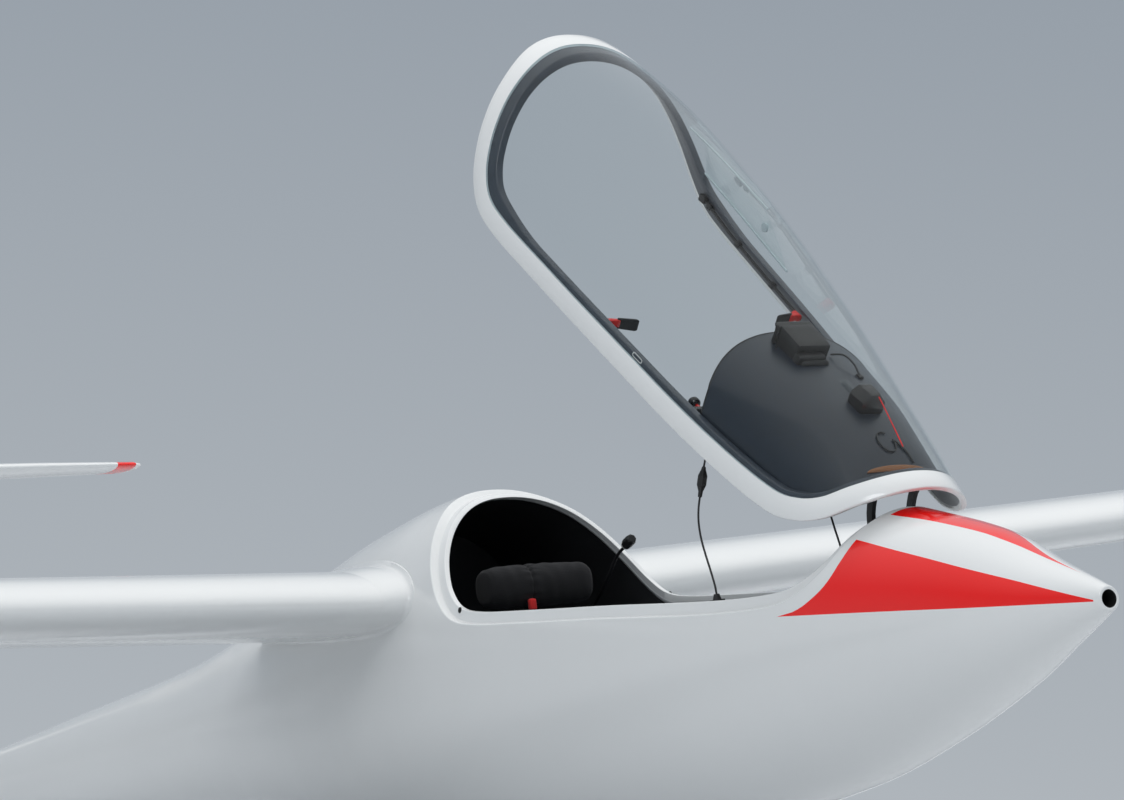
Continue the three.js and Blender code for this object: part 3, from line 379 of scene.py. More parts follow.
class Shape:
    """Points and faces, each face with the number of its material."""

    def __init__(self):
        self.points = []
        self.faces = []
        self.marks = []
        self.count = 0

    def add(self, points, faces, mark=0):
        flat = np.asarray(points, float).reshape(-1, 3)
        self.points.append(flat)
        self.faces += [tuple(i + self.count for i in face) for face in faces]
        self.marks += list(mark) if hasattr(mark, "__len__") else [mark] * len(faces)
        self.count += len(flat)
        return self

    def grid(self, rows, wrap=False, close=False, mark=0):
        rows = np.asarray(rows, float)
        return self.add(rows, grid_faces(rows.shape[0], rows.shape[1], wrap, close), mark)

    def loft(self, rings, mark=0):
        """Closed skin through rings, with a flat cap at each end."""
        rings = np.asarray(rings, float)
        rows, columns = rings.shape[:2]
        last = (rows - 1) * columns
        faces = grid_faces(rows, columns, wrap=True)
        faces += [list(range(columns))[::-1], [last + i for i in range(columns)]]
        return self.add(rings, faces, mark)

    def sheet(self, outer, inner, mark=0):
        """Closed wall between two grids of the same size."""
        outer, inner = np.asarray(outer, float), np.asarray(inner, float)
        rows, columns = outer.shape[:2]
        faces = grid_faces(rows, columns)
        back = [[i + rows * columns for i in face[::-1]] for face in faces]
        border = [(0, c) for c in range(columns)] + [(r, columns - 1) for r in range(1, rows)]
        border += [(rows - 1, c) for c in range(columns - 2, -1, -1)]
        border += [(r, 0) for r in range(rows - 2, 0, -1)]
        ring = [r * columns + c for r, c in border]
        behind = rows * columns
        sides = [[b, a, a + behind, b + behind] for a, b in zip(ring, ring[1:] + ring[:1])]
        return self.add(np.stack([outer, inner]), faces + back + sides, mark)

    def tube(self, path, radius, sides=12, mark=0):
        """Round bar along a path. The radius may change along it."""
        path = np.asarray(path, float)
        radii = np.broadcast_to(np.asarray(radius, float), len(path))
        ahead = np.gradient(path, axis=0)
        ahead /= np.linalg.norm(ahead, axis=1)[:, None]
        side = np.cross(ahead[0], (0, 0, 1) if abs(ahead[0][2]) < 0.9 else (0, 1, 0))
        rings = []
        for point, direction, size in zip(path, ahead, radii):
            side = side - direction * (side @ direction)
            side /= np.linalg.norm(side)
            up = np.cross(side, direction)
            angle = np.linspace(0, 2 * math.pi, sides, endpoint=False)[:, None]
            rings.append(point + size * (np.cos(angle) * side + np.sin(angle) * up))
        return self.loft(rings, mark)

    def lathe(self, outline, place, axis="y", sides=64, mark=0, close=True):
        """Turned form from an outline of distance along the axis and radius."""
        angle = np.linspace(0, 2 * math.pi, sides, endpoint=False)
        rings = []
        for run, radius in outline:
            a, b = radius * np.cos(angle), radius * np.sin(angle)
            flat = np.full(sides, float(run))
            order = {"x": (flat, a, b), "y": (b, flat, a), "z": (a, b, flat)}[axis]
            rings.append(np.stack(order, axis=1) + place)
        rings = np.array(rings)
        return self.add(rings, grid_faces(len(rings), sides, wrap=True, close=close), mark)

    def box(self, low, high, round_by=0.0, mark=0):
        """Block with its edges cut back."""
        made = bmesh.new()
        bmesh.ops.create_cube(made, size=1)
        low, high = Vector(low), Vector(high)
        for vert in made.verts:
            vert.co = Vector([low[k] + (vert.co[k] + 0.5) * (high[k] - low[k]) for k in range(3)])
        if round_by:
            bmesh.ops.bevel(made, geom=made.edges[:], offset=round_by, segments=3, profile=0.5, affect="EDGES")
        made.verts.index_update()
        points = [tuple(v.co) for v in made.verts]
        faces = [[v.index for v in f.verts] for f in made.faces]
        made.free()
        return self.add(points, faces, mark)

    def moved(self, matrix):
        turned = np.array(matrix.to_3x3())
        shift = np.array(matrix.translation)
        self.points = [p @ turned.T + shift for p in self.points]
        return self


def about(point, angle, axis):
    """Turn about a point, in degrees."""
    there = Matrix.Translation(Vector(point))
    return there @ Matrix.Rotation(math.radians(angle), 4, axis) @ there.inverted()


def mesh_of(name, shape):
    """Mesh of a shape, in metres."""
    mesh = bpy.data.meshes.new(name)
    mesh.from_pydata((np.vstack(shape.points) / 1000).tolist(), [], shape.faces)
    return mesh


def placed(name, data):
    """New object in the scene that holds the data."""
    made = bpy.data.objects.new(name, data)
    bpy.context.scene.collection.objects.link(made)
    return made


def piece(name, shape, materials, body="airframe", stands_for=(), sharp=35, weld=0.02):
    """Object made of a shape, in its place and riding on a body."""
    mesh = mesh_of(name, shape)
    materials = materials if isinstance(materials, (list, tuple)) else [materials]
    for material in materials:
        mesh.materials.append(material)
    mesh.polygons.foreach_set("material_index", shape.marks)
    work = bmesh.new()
    work.from_mesh(mesh)
    if weld:
        bmesh.ops.remove_doubles(work, verts=work.verts[:], dist=weld / 1000)
    bmesh.ops.recalc_face_normals(work, faces=work.faces[:])
    work.to_mesh(mesh)
    work.free()
    mesh.polygons.foreach_set("use_smooth", [True] * len(mesh.polygons))
    mesh.set_sharp_from_angle(angle=math.radians(sharp))
    mesh.transform(place_of(body))
    made = placed(name, mesh)
    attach(made, body)
    if stands_for:
        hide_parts(*([stands_for] if isinstance(stands_for, str) else stands_for))
    return made


# Camera and cords
def camera():
    data = bpy.data.cameras.new("camera")
    data.sensor_width = SENSOR
    data.lens = FOCAL_PIXELS / PICTURE_WIDTH * SENSOR
    data.clip_end = 400
    made = placed("camera", data)
    yaw, pitch, roll = (math.radians(a) for a in (CAMERA_YAW, CAMERA_PITCH, CAMERA_ROLL))
    ahead = Vector((math.cos(pitch) * math.cos(yaw), math.cos(pitch) * math.sin(yaw), math.sin(pitch)))
    level = ahead.cross(Vector((0, 0, 1))).normalized()
    over = level.cross(ahead)
    right = math.cos(roll) * level + math.sin(roll) * over
    up = -math.sin(roll) * level + math.cos(roll) * over
    place = Matrix((right, up, -ahead)).transposed().to_4x4()
    place.translation = Vector(CAMERA)
    made.matrix_world = PARKED @ place
    bpy.context.scene.camera = made


camera()


def smooth_route(points, step=4.0):
    """The route that the CAD's lead follows: a centripetal curve through its points."""
    p = np.array(points, float)
    first, last = 2 * p[0] - p[1], 2 * p[-1] - p[-2]
    padded = np.vstack([first, p, last])
    found = []
    for i in range(len(p) - 1):
        a, b, c, d = padded[i : i + 4]
        knots = [0.0]
        for here, there in ((a, b), (b, c), (c, d)):
            knots.append(knots[-1] + max(np.linalg.norm(there - here), 1e-6) ** 0.5)
        t0, t1, t2, t3 = knots
        count = max(4, int(np.linalg.norm(c - b) / step))
        t = np.linspace(t1, t2, count, endpoint=False)[:, None]
        a1 = (t1 - t) / (t1 - t0) * a + (t - t0) / (t1 - t0) * b
        a2 = (t2 - t) / (t2 - t1) * b + (t - t1) / (t2 - t1) * c
        a3 = (t3 - t) / (t3 - t2) * c + (t - t2) / (t3 - t2) * d
        b1 = (t2 - t) / (t2 - t0) * a1 + (t - t0) / (t2 - t0) * a2
        b2 = (t3 - t) / (t3 - t1) * a2 + (t - t1) / (t3 - t1) * a3
        found.append((t2 - t) / (t2 - t1) * b1 + (t - t1) / (t2 - t1) * b2)
    found.append(p[-1:])
    return np.vstack(found)


# Materials
def node(tree, kind, inputs=None, **settings):
    made = tree.nodes.new(kind)
    for key, value in settings.items():
        setattr(made, key, value)
    for key, value in (inputs or {}).items():
        if isinstance(value, bpy.types.NodeSocket):
            tree.links.new(value, made.inputs[key])
        else:
            made.inputs[key].default_value = value
    return made


def maths(tree, operation, a, b=0.0):
    return node(tree, "ShaderNodeMath", {0: a, 1: b}, operation=operation).outputs[0]


def spread(tree, value, low, high):
    return node(tree, "ShaderNodeMapRange", {"Value": value, "To Min": low, "To Max": high}).outputs[0]


def mixed(tree, factor, a, b):
    made = node(tree, "ShaderNodeMix", data_type="RGBA")
    for socket, value in ((0, factor), (6, a), (7, b)):
        if isinstance(value, bpy.types.NodeSocket):
            tree.links.new(value, made.inputs[socket])
        else:
            made.inputs[socket].default_value = value if socket == 0 else (*value, 1)
    return made.outputs[2]


def local(tree, stretch=(1, 1, 1)):
    """Place on the object in the airframe's own axes, in metres."""
    back = PARKED.inverted()
    values = {"Location": back.to_translation(), "Rotation": back.to_euler()}
    values["Vector"] = node(tree, "ShaderNodeTexCoord").outputs["Object"]
    place = node(tree, "ShaderNodeMapping", values).outputs[0]
    return node(tree, "ShaderNodeMapping", {"Vector": place, "Scale": stretch}).outputs[0]


def noise(tree, place, scale, detail=3.0, rough=0.5):
    values = {"Vector": place, "Scale": scale, "Detail": detail, "Roughness": rough}
    return node(tree, "ShaderNodeTexNoise", values).outputs["Fac"]


def curve(tree, value, points):
    """A value read from a short curve of (in, out) points, both between 0 and 1."""
    made = node(tree, "ShaderNodeFloatCurve", {"Value": value})
    line = made.mapping.curves[0]
    line.points[0].location = points[0]
    line.points[1].location = points[-1]
    for x, y in points[1:-1]:
        line.points.new(x, y)
    made.mapping.update()
    return made.outputs[0]


def surface(name, colour, roughness, **shader):
    """New material with a Principled shader. Returns the material, its nodes and the shader."""
    made = bpy.data.materials.new(name)
    made.use_nodes = True
    tree = made.node_tree
    principled = tree.nodes["Principled BSDF"]
    principled.inputs["Base Color"].default_value = (*colour, 1)
    principled.inputs["Roughness"].default_value = roughness
    for key, value in shader.items():
        principled.inputs[key.replace("_", " ")].default_value = value
    return made, tree, principled


def relief(tree, principled, height, depth, strength=1.0):
    values = {"Height": height, "Distance": depth, "Strength": strength}
    tree.links.new(node(tree, "ShaderNodeBump", values).outputs[0], principled.inputs["Normal"])


def plain(
    name, colour, roughness, mottle=6.0, vary=0.12, grain=400.0, depth=0.00006, stretch=(1, 1, 1), **shader
):
    """Surface with soft variation of colour and gloss and a fine grain."""
    made, tree, principled = surface(name, colour, roughness, **shader)
    place = local(tree, stretch)
    patches = noise(tree, place, mottle, 4)
    shade = spread(tree, patches, 1 - vary, 1 + vary * 0.5)
    dark = [c * (1 - vary * 1.5) for c in colour]
    light = [min(1, c * (1 + vary)) for c in colour]
    tree.links.new(mixed(tree, patches, dark, light), principled.inputs["Base Color"])
    tree.links.new(maths(tree, "MULTIPLY", shade, roughness), principled.inputs["Roughness"])
    relief(tree, principled, noise(tree, place, grain, 2), depth)
    return made


WHITE = (0.83, 0.84, 0.835)
RED = (0.92, 0.007, 0.004)
# The painted wedge on each side of the nose: heights of its upper and lower edge by station, and the
# station of its rear edge by height. The stripe on top: half width by station. All in metres.
WEDGE_TOP = [(0.0, -0.004), (0.083, 0.026), (0.206, 0.070), (0.34, 0.116), (0.504, 0.166)]
WEDGE_TOP += [(0.60, 0.195), (0.80, 0.25)]
WEDGE_LOW = [(0.0, -0.004), (0.101, 0.005), (0.26, 0.019), (0.45, 0.036), (0.665, 0.054), (0.80, 0.065)]
WEDGE_REAR = [(0.05, 0.80), (0.062, 0.772), (0.067, 0.722), (0.085, 0.674), (0.115, 0.632)]
WEDGE_REAR += [(0.152, 0.609), (0.192, 0.592), (0.25, 0.56)]
STRIPE_HALF = [(0.0, 0.0), (0.129, 0.003), (0.207, 0.013), (0.28, 0.030), (0.37, 0.043)]
STRIPE_HALF += [(0.48, 0.052), (0.561, 0.062), (0.60, 0.066)]
STRIPE_END = 0.566
STRIPE_FOOT = 0.02
WEDGE_START = 0.012
TAIL_BAND = (1.008, 1.088)


def gelcoat(name, paint=None):
    """Polished white gelcoat. paint is "nose", "tail" or nothing."""
    made, tree, principled = surface(name, WHITE, 0.13, Coat_Weight=0.35, Coat_Roughness=0.05)
    place = local(tree)
    patches = noise(tree, place, 1.6, 4)
    dust = noise(tree, place, 26, 5, 0.6)
    low = [c * 0.965 for c in WHITE]
    base = mixed(tree, patches, low, WHITE)
    parts = node(tree, "ShaderNodeSeparateXYZ", {"Vector": place})
    x, y, z = parts.outputs
    across = maths(tree, "ABSOLUTE", y)
    if paint == "nose":
        under = maths(tree, "LESS_THAN", z, curve(tree, x, WEDGE_TOP))
        over = maths(tree, "GREATER_THAN", z, curve(tree, x, WEDGE_LOW))
        ahead = maths(tree, "LESS_THAN", x, curve(tree, z, WEDGE_REAR))
        behind_tip = maths(tree, "GREATER_THAN", x, WEDGE_START)
        level = maths(tree, "MULTIPLY", under, over)
        between = maths(tree, "MULTIPLY", ahead, behind_tip)
        wedge = maths(tree, "MULTIPLY", level, between)
        narrow = maths(tree, "LESS_THAN", across, curve(tree, x, STRIPE_HALF))
        upper = maths(tree, "GREATER_THAN", z, STRIPE_FOOT)
        short = maths(tree, "LESS_THAN", x, STRIPE_END)
        stripe = maths(tree, "MULTIPLY", narrow, maths(tree, "MULTIPLY", upper, short))
        base = mixed(tree, maths(tree, "MAXIMUM", wedge, stripe), base, RED)
    if paint == "tail":
        inner = maths(tree, "GREATER_THAN", across, TAIL_BAND[0])
        outer = maths(tree, "LESS_THAN", across, TAIL_BAND[1])
        base = mixed(tree, maths(tree, "MULTIPLY", inner, outer), base, RED)
    tree.links.new(base, principled.inputs["Base Color"])
    tree.links.new(spread(tree, dust, 0.09, 0.17), principled.inputs["Roughness"])
    relief(tree, principled, noise(tree, place, 5.5, 2), 0.0011, 0.35)
    return made


def clear(name, tint, streaks=False):
    """Clear acrylic: a sharp reflection over what lies behind."""
    made = bpy.data.materials.new(name)
    made.use_nodes = True
    tree = made.node_tree
    tree.nodes.clear()
    output = node(tree, "ShaderNodeOutputMaterial")
    through = node(tree, "ShaderNodeBsdfTransparent", {"Color": (*tint, 1)})
    mirror = node(tree, "ShaderNodeBsdfGlossy", {"Color": (1, 1, 1, 1), "Roughness": 0.02})
    haze = node(tree, "ShaderNodeBsdfDiffuse", {"Color": (0.9, 0.93, 0.95, 1)})
    facing = node(tree, "ShaderNodeLayerWeight", {"Blend": 0.5}).outputs["Facing"]
    amount = maths(tree, "ADD", 0.01, maths(tree, "MULTIPLY", maths(tree, "POWER", facing, 7.0), 0.85))
    place = local(tree, (0.6, 3, 3)) if streaks else local(tree)
    wiped = noise(tree, place, 7, 4, 0.55)
    veil = maths(tree, "MULTIPLY", maths(tree, "POWER", facing, 3.0), spread(tree, wiped, 0.0, 0.02))
    body = node(tree, "ShaderNodeMixShader", {0: veil, 1: through.outputs[0], 2: haze.outputs[0]})
    whole = node(tree, "ShaderNodeMixShader", {0: amount, 1: body.outputs[0], 2: mirror.outputs[0]})
    tree.links.new(whole.outputs[0], output.inputs[0])
    return made


def cloth(name, colour, threads=520.0, depth=0.00035, **shader):
    """Woven upholstery: two crossed sets of threads over soft colour variation."""
    made, tree, principled = surface(name, colour, 0.9, Sheen_Weight=0.08, **shader)
    place = local(tree)
    waves = [
        node(
            tree,
            "ShaderNodeTexWave",
            {"Vector": place, "Scale": threads / 6.3, "Distortion": 0.6, "Detail": 1.0},
            bands_direction=direction,
        ).outputs["Fac"]
        for direction in ("X", "Y", "Z")
    ]
    weave = maths(tree, "MAXIMUM", maths(tree, "MULTIPLY", waves[0], waves[1]), waves[2])
    patches = noise(tree, place, 14, 4)
    dark, light = [c * 0.6 for c in colour], [min(1, c * 1.5) for c in colour]
    tree.links.new(mixed(tree, patches, dark, light), principled.inputs["Base Color"])
    relief(tree, principled, weave, depth, 0.6)
    return made


def laminate(name, colour, roughness, stretch, depth=0.00007):
    """Satin moulded laminate with faint streaks along the airframe."""
    made, tree, principled = surface(name, colour, roughness, Coat_Weight=0.12, Coat_Roughness=0.25)
    streaks = noise(tree, local(tree, stretch), 9, 5, 0.62)
    fine = noise(tree, local(tree), 700, 2)
    dark, light = [c * 0.55 for c in colour], [c * 1.7 for c in colour]
    tree.links.new(mixed(tree, streaks, dark, light), principled.inputs["Base Color"])
    tree.links.new(spread(tree, streaks, roughness * 0.75, roughness * 1.3), principled.inputs["Roughness"])
    relief(tree, principled, maths(tree, "ADD", streaks, maths(tree, "MULTIPLY", fine, 0.12)), depth)
    return made


def rubber(name):
    made, tree, principled = surface(name, (0.022, 0.022, 0.023), 0.82)
    place = local(tree)
    dust = noise(tree, place, 22, 5, 0.65)
    worn = mixed(tree, maths(tree, "POWER", dust, 2.5), (0.014, 0.014, 0.015), (0.11, 0.10, 0.085))
    tree.links.new(worn, principled.inputs["Base Color"])
    tree.links.new(spread(tree, dust, 0.65, 0.95), principled.inputs["Roughness"])
    relief(tree, principled, noise(tree, place, 900, 3), 0.0002)
    return made


def metal(name, colour, roughness, stretch=(1, 1, 1), scale=300.0):
    made, tree, principled = surface(name, colour, roughness, Metallic=1.0)
    brushed = noise(tree, local(tree, stretch), scale, 3)
    wear = noise(tree, local(tree), 30, 4)
    dark = [c * 0.72 for c in colour]
    tree.links.new(mixed(tree, wear, dark, colour), principled.inputs["Base Color"])
    tree.links.new(spread(tree, brushed, roughness * 0.6, roughness * 1.5), principled.inputs["Roughness"])
    relief(tree, principled, brushed, 0.00004)
    return made


skin = gelcoat("gelcoat")
nose_skin = gelcoat("gelcoat_nose", "nose")
tail_skin = gelcoat("gelcoat_tail", "tail")
acrylic = clear("acrylic", (0.972, 0.985, 0.985), streaks=True)
acrylic_edge = plain("acrylic_edge", (0.42, 0.50, 0.53), 0.18, vary=0.1)
window_clear = clear("window_acrylic", (0.95, 0.97, 0.97))
slate = laminate("slate_laminate", (0.030, 0.038, 0.051), 0.34, (1, 6, 6))
cover_finish = laminate("cover_laminate", (0.007, 0.012, 0.021), 0.36, (0.5, 9, 9), 0.000008)
liner = laminate("cabin_liner", (0.016, 0.017, 0.019), 0.62, (1, 1, 1))
matt = plain("matt_black", (0.010, 0.010, 0.011), 0.5, grain=600.0, depth=0.00002)
gloss = plain("gloss_black", (0.010, 0.010, 0.011), 0.16, grain=60.0, depth=0.00002)
upholstery = cloth("black_upholstery", (0.0065, 0.0065, 0.0078))
webbing = cloth("grey_webbing", (0.045, 0.047, 0.052), threads=900.0)
wool = cloth("red_wool", (0.62, 0.02, 0.02), threads=1500.0, depth=0.0003)
tyre_rubber = rubber("tyre_rubber")
aluminium = metal("brushed_aluminium", (0.66, 0.67, 0.69), 0.3, (1, 9, 1))
steel = metal("painted_steel", (0.34, 0.36, 0.38), 0.42)
bright_steel = metal("bright_steel", (0.62, 0.62, 0.62), 0.22)
blue_plastic = plain("blue_plastic", (0.02, 0.10, 0.42), 0.35)
yellow_plastic = plain("yellow_plastic", (0.75, 0.52, 0.03), 0.35)
red_plastic = plain("red_plastic", (0.58, 0.015, 0.012), 0.32)
sheath = plain("cable_sheath", (0.016, 0.016, 0.017), 0.45, grain=600.0)
amber = plain("amber_lens", (0.20, 0.075, 0.02), 0.12)
white_marks = plain("white_marks", (0.75, 0.76, 0.74), 0.5)
screen = plain("display_glass", (0.015, 0.03, 0.035), 0.06, vary=0.05, grain=10.0, depth=0.00001)


def lead(name, points):
    """A lead along the route that the CAD gives it, in the parked place."""
    route = smooth_route(points)
    mesh = mesh_of(name + "_tube", Shape().tube(route, LEAD_RADIUS, 14))
    mesh.materials.append(sheath)
    mesh.polygons.foreach_set("use_smooth", [True] * len(mesh.polygons))
    mesh.transform(PARKED)
    made = placed(name + "_tube", mesh)
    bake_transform(made)
    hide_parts(name)


def yaw_thread():
    """The wool thread on the canopy's glass."""
    front, back, from_y, to_y = YAW_STRING
    stations = np.linspace(front, back, 24)
    share = (stations - front) / (back - front)
    side = from_y + (to_y - from_y) * share
    route = np.stack([stations, side, body_top(stations, side) + THREAD_RADIUS + FIT], axis=1)
    shape = Shape().tube(route, THREAD_RADIUS, 10)
    thread = piece("yaw_thread", shape, wool, "canopy", "yaw_string")


lead("canopy_lead", CANOPY_LEAD)
lead("panel_lead", PANEL_LEAD)
yaw_thread()


# Fuselage
BODY_COLUMNS = 133
NOSE_ROWS = 64
POD_ROWS = 90
LIP = [(70, 0.2), (70, 17), (3, 17), (0.8, 17.6), (0, 19.4), (0, 22.4), (0.8, 24.0)]
ROUNDING = [(-3.0, 0.0), (-1.9, 0.25), (-0.9, 0.95), (-0.25, 1.9), (0.0, 3.2)]


def skin_rows(front_rows, opening_rows, rear_rows, inset, columns):
    """Rows round the belly: whole rings ahead of and behind the opening, open ones along its edge."""
    turn_share = np.linspace(0, 1, columns)
    rows = []
    for station in front_rows:
        rows.append(body_point(station, math.pi / 2 - turn_share * 2 * math.pi, inset))
    for station, _, height in opening_rows:
        top, middle, upper = (float(along(BODY, k, station)) for k in (1, 3, 5))
        share = min(1.0, max(0.0, (height - middle) / (top - inset - middle)))
        edge = math.asin(share ** (upper / 2))
        rows.append(body_point(station, edge - turn_share * (math.pi + 2 * edge), inset))
    for station in rear_rows:
        rows.append(body_point(station, math.pi / 2 - turn_share * 2 * math.pi, inset))
    return np.array(rows)


def cut_out(made, low, high):
    """Divides a piece's faces along the sides of a box in plan and takes out those under its floor."""
    made.data.transform(PARKED.inverted())
    work = bmesh.new()
    work.from_mesh(made.data)
    low, high = Vector(low) / 1000, Vector(high) / 1000
    margin = 0.1
    for axis in (0, 1):
        for value in (low[axis], high[axis]):
            near = []
            for face in work.faces:
                middle = face.calc_center_median()
                if middle.z < high.z and low.x - margin < middle.x < high.x + margin:
                    near.append(face)
            edges = list({e for f in near for e in f.edges})
            corners = list({v for f in near for v in f.verts})
            geometry = near + edges + corners
            normal = [0, 0, 0]
            normal[axis] = 1
            spot = [0, 0, 0]
            spot[axis] = value
            bmesh.ops.bisect_plane(work, geom=geometry, plane_co=spot, plane_no=normal, dist=1e-6)
    inside = []
    for face in work.faces:
        middle = face.calc_center_median()
        if low.x < middle.x < high.x and low.y < middle.y < high.y and middle.z < high.z:
            inside.append(face)
    bmesh.ops.delete(work, geom=inside, context="FACES")
    work.to_mesh(made.data)
    work.free()
    made.data.transform(PARKED)


def well(name, low, high, body="airframe", inset=0.0):
    """Inside of a wheel well, open below, with walls that start at the skin."""
    x = np.linspace(low[0], high[0], 24)
    y = np.linspace(low[1], high[1], 12)
    shape = Shape()
    roof = high[2]
    border = [(a, low[1]) for a in x] + [(high[0], b) for b in y[1:]]
    border += [(a, high[1]) for a in x[::-1][1:]] + [(low[0], b) for b in y[::-1][1:-1]]
    foot = []
    for a, b in border:
        top, bottom, middle, half, upper, lower = (float(along(BODY, k, a)) for k in range(1, 7))
        drop = (middle - bottom) * (1 - min(1, abs(b) / half) ** lower) ** (1 / lower)
        foot.append((a, b, middle - drop))
    foot = np.array(foot)
    shape.grid([foot, foot * (1, 1, 0) + (0, 0, roof)], wrap=True)
    shape.grid([[(a, b, roof) for b in y] for a in x])
    return piece(name, shape, well_paint, body)


well_paint = plain("well_paint", (0.42, 0.43, 0.43), 0.5, mottle=18.0, vary=0.3)
# near-black painted shade for the inside of the nose vent and the floors of the pin holes
painted_hole_shade = plain("painted_hole_shade", (0.004, 0.004, 0.004), 0.7)


def fuselage():
    edge = rim(-3.0, 0.0)
    front = 3 + (edge[0][0] - 3) * np.linspace(0, 1, NOSE_ROWS, endpoint=False) ** 1.25
    rear = np.linspace(edge[-1][0], POD_END, POD_ROWS)[1:]
    rows = skin_rows(front, edge, rear, 0, BODY_COLUMNS)
    angle = math.pi / 2 - np.linspace(0, 1, BODY_COLUMNS) * 2 * math.pi
    lip = [
        np.stack([np.full(BODY_COLUMNS, s), r * np.cos(angle), r * np.sin(angle)], axis=1) for s, r in LIP
    ]
    shape = Shape().grid(np.vstack([lip, rows]))
    # the disc that closes the nose vent 70 mm in, the vent's inner wall and the start of its lip are painted
    # shade: near black, standing for the vent's depth
    dark = 3 * (BODY_COLUMNS - 1)
    shape.marks[:dark] = [1] * dark
    made = piece("fuselage_skin", shape, [nose_skin, painted_hole_shade], "airframe", "fuselage")
    cut_out(made, (BAY[0], -BAY[2], BELLY_CUT[0]), (BAY[1], BAY[2], BELLY_CUT[1]))
    well("wheel_bay", (BAY[0], -BAY[2], BELLY_CUT[0]), (BAY[1], BAY[2], BAY[3]))

    # the opening's rounded edge, its wall and the rebate that the canopy lies in
    reach, low, under = FLANGE
    profile = ROUNDING + [(0, 9), (0, low - 3), (0.8, low - 0.8), (3, low)]
    profile += [(reach - 2, low), (reach - 0.5, low + 0.6), (reach, low + 2), (reach, under - 1)]
    profile += [(reach - 1, under), (0, under), (-7, under + 2)]
    rebate = Shape().grid([rim_loop(*p) for p in profile], wrap=True)
    piece("cockpit_rebate", rebate, nose_skin, "airframe", sharp=50)


def cabin():
    """Dark inner wall, front bulkhead, and the shelf over the wheel behind the seat."""
    edge = rim(-4.0, CABIN_WALL)
    front = np.linspace(CABIN[0], edge[0][0], 16)[:-1]
    rear = np.linspace(edge[-1][0], CABIN[1], 20)[1:]
    rows = skin_rows(front, edge[::2], rear, CABIN_WALL, 81)
    shape = Shape().grid(rows)
    for row in (rows[0], rows[-1]):
        shape.add(row[:-1], [list(range(len(row) - 1))])
    start, height = SHELF
    station = np.linspace(start, CABIN[1], 18)
    half = body_side(station, np.full(18, float(height)), CABIN_WALL)
    shape.grid([[(s, h * k, height) for k in np.linspace(-1, 1, 12)] for s, h in zip(station, half)])
    wall = body_point(start, np.linspace(0, -math.pi, 40), CABIN_WALL)
    wall[0, 2] = wall[-1, 2] = height
    shape.grid([wall, wall * (1, 1, 0) + (0, 0, height)])
    piece("cabin_liner", shape, liner, "airframe")


fuselage()
cabin()


# Wing
def section_heights(share, thickness, bend=CAMBER):
    """Upper and lower height of the section at shares of the chord, as shares of the chord."""
    share = np.asarray(share, float)
    half = (
        5
        * thickness
        * (0.2969 * np.sqrt(share) - 0.126 * share - 0.3516 * share**2 + 0.2843 * share**3 - 0.1036 * share**4)
    )
    p = CAMBER_PLACE
    front = bend / p**2 * (2 * p * share - share**2)
    back = bend / (1 - p) ** 2 * (1 - 2 * p + 2 * p * share - share**2)
    line = np.where(share < p, front, back)
    edge = 0.0022 * share
    return line + half + edge, line - half - edge


def section(table, span, read=straight):
    return [float(read(table, k, span)) for k in range(1, 5)]


def cosine(count, last=1.0):
    return last * (1 - np.cos(np.linspace(0, math.pi, count))) / 2


def round_share(count, last):
    """Shares that lie close together at the leading edge only."""
    return last * (1 - np.cos(np.linspace(0, math.pi / 2, count)))


def in_plane(outline, y):
    """Points of an outline of station and height, at a distance from the centre line."""
    return np.stack([outline[:, 0], np.full(len(outline), y), outline[:, 1]], axis=1)


def cove_arc(centre, radius, begin, end):
    """The hollow that a control surface's nose turns in, without its two ends."""
    angle = np.linspace(begin, end, 14)[1:-1]
    return np.array(centre, float) + radius * np.stack([np.cos(angle), np.sin(angle)], axis=1)


def hinged_outline(centre, radius, count, x, low, high):
    """Section of a control surface: round nose on the hinge, one face, and the other back to the nose."""
    angle = np.linspace(math.pi / 2, 3 * math.pi / 2, count)
    nose = np.array(centre, float) + radius * np.stack([np.cos(angle), np.sin(angle)], axis=1)
    return np.vstack([nose, np.stack([x, low], axis=1), np.stack([x, high], axis=1)[::-1]])


def hinge_of(span):
    """Hinge centre, nose radius, and where the cove meets the surfaces, of a flap or aileron."""
    lead, chord, thickness, height = section(WING, span)
    up, low = section_heights(HINGE_SHARE, thickness)
    centre = np.array([lead + HINGE_SHARE * chord, height + chord * (up + low) / 2])
    radius = chord * float(up - low) / 2
    share = np.linspace(HINGE_SHARE - 0.12, HINGE_SHARE, 400)
    upper, lower = section_heights(share, thickness)
    ends = []
    for heights in (upper, lower):
        point = np.stack([lead + share * chord, height + chord * heights], axis=1)
        gap = np.linalg.norm(point - centre, axis=1) - (radius + GAP)
        ends.append(share[np.flatnonzero(gap > 0)[-1]] if (gap > 0).any() else share[0])
    return lead, chord, thickness, height, centre, radius, ends


def wing_profile(side, span, cove, slot=False, points=44):
    """Closed outline of the wing at a place on the span: round the nose, and the cove or trailing edge."""
    if cove:
        lead, chord, thickness, height, centre, radius, (up_end, low_end) = hinge_of(span)
    else:
        lead, chord, thickness, height = section(WING, span)
        up_end = low_end = 1.0
    upper_share = round_share(points, up_end) if cove else cosine(points)
    lower_share = round_share(points, low_end) if cove else cosine(points)
    upper = section_heights(upper_share, thickness)[0]
    lower = section_heights(lower_share, thickness)[1]
    top = np.stack([lead + upper_share * chord, height + chord * upper], axis=1)[::-1]
    bottom = np.stack([lead + lower_share * chord, height + chord * lower], axis=1)[1:]
    if slot:
        top = slotted(lead, chord, thickness, height, span, up_end)
    outline = np.vstack([top, bottom])
    if cove:
        a = math.atan2(*(top[0] - centre)[::-1])
        b = math.atan2(*(bottom[-1] - centre)[::-1]) % (2 * math.pi)
        outline = np.vstack([outline, cove_arc(centre, radius + GAP, b, a)])
    return in_plane(outline, side * span)


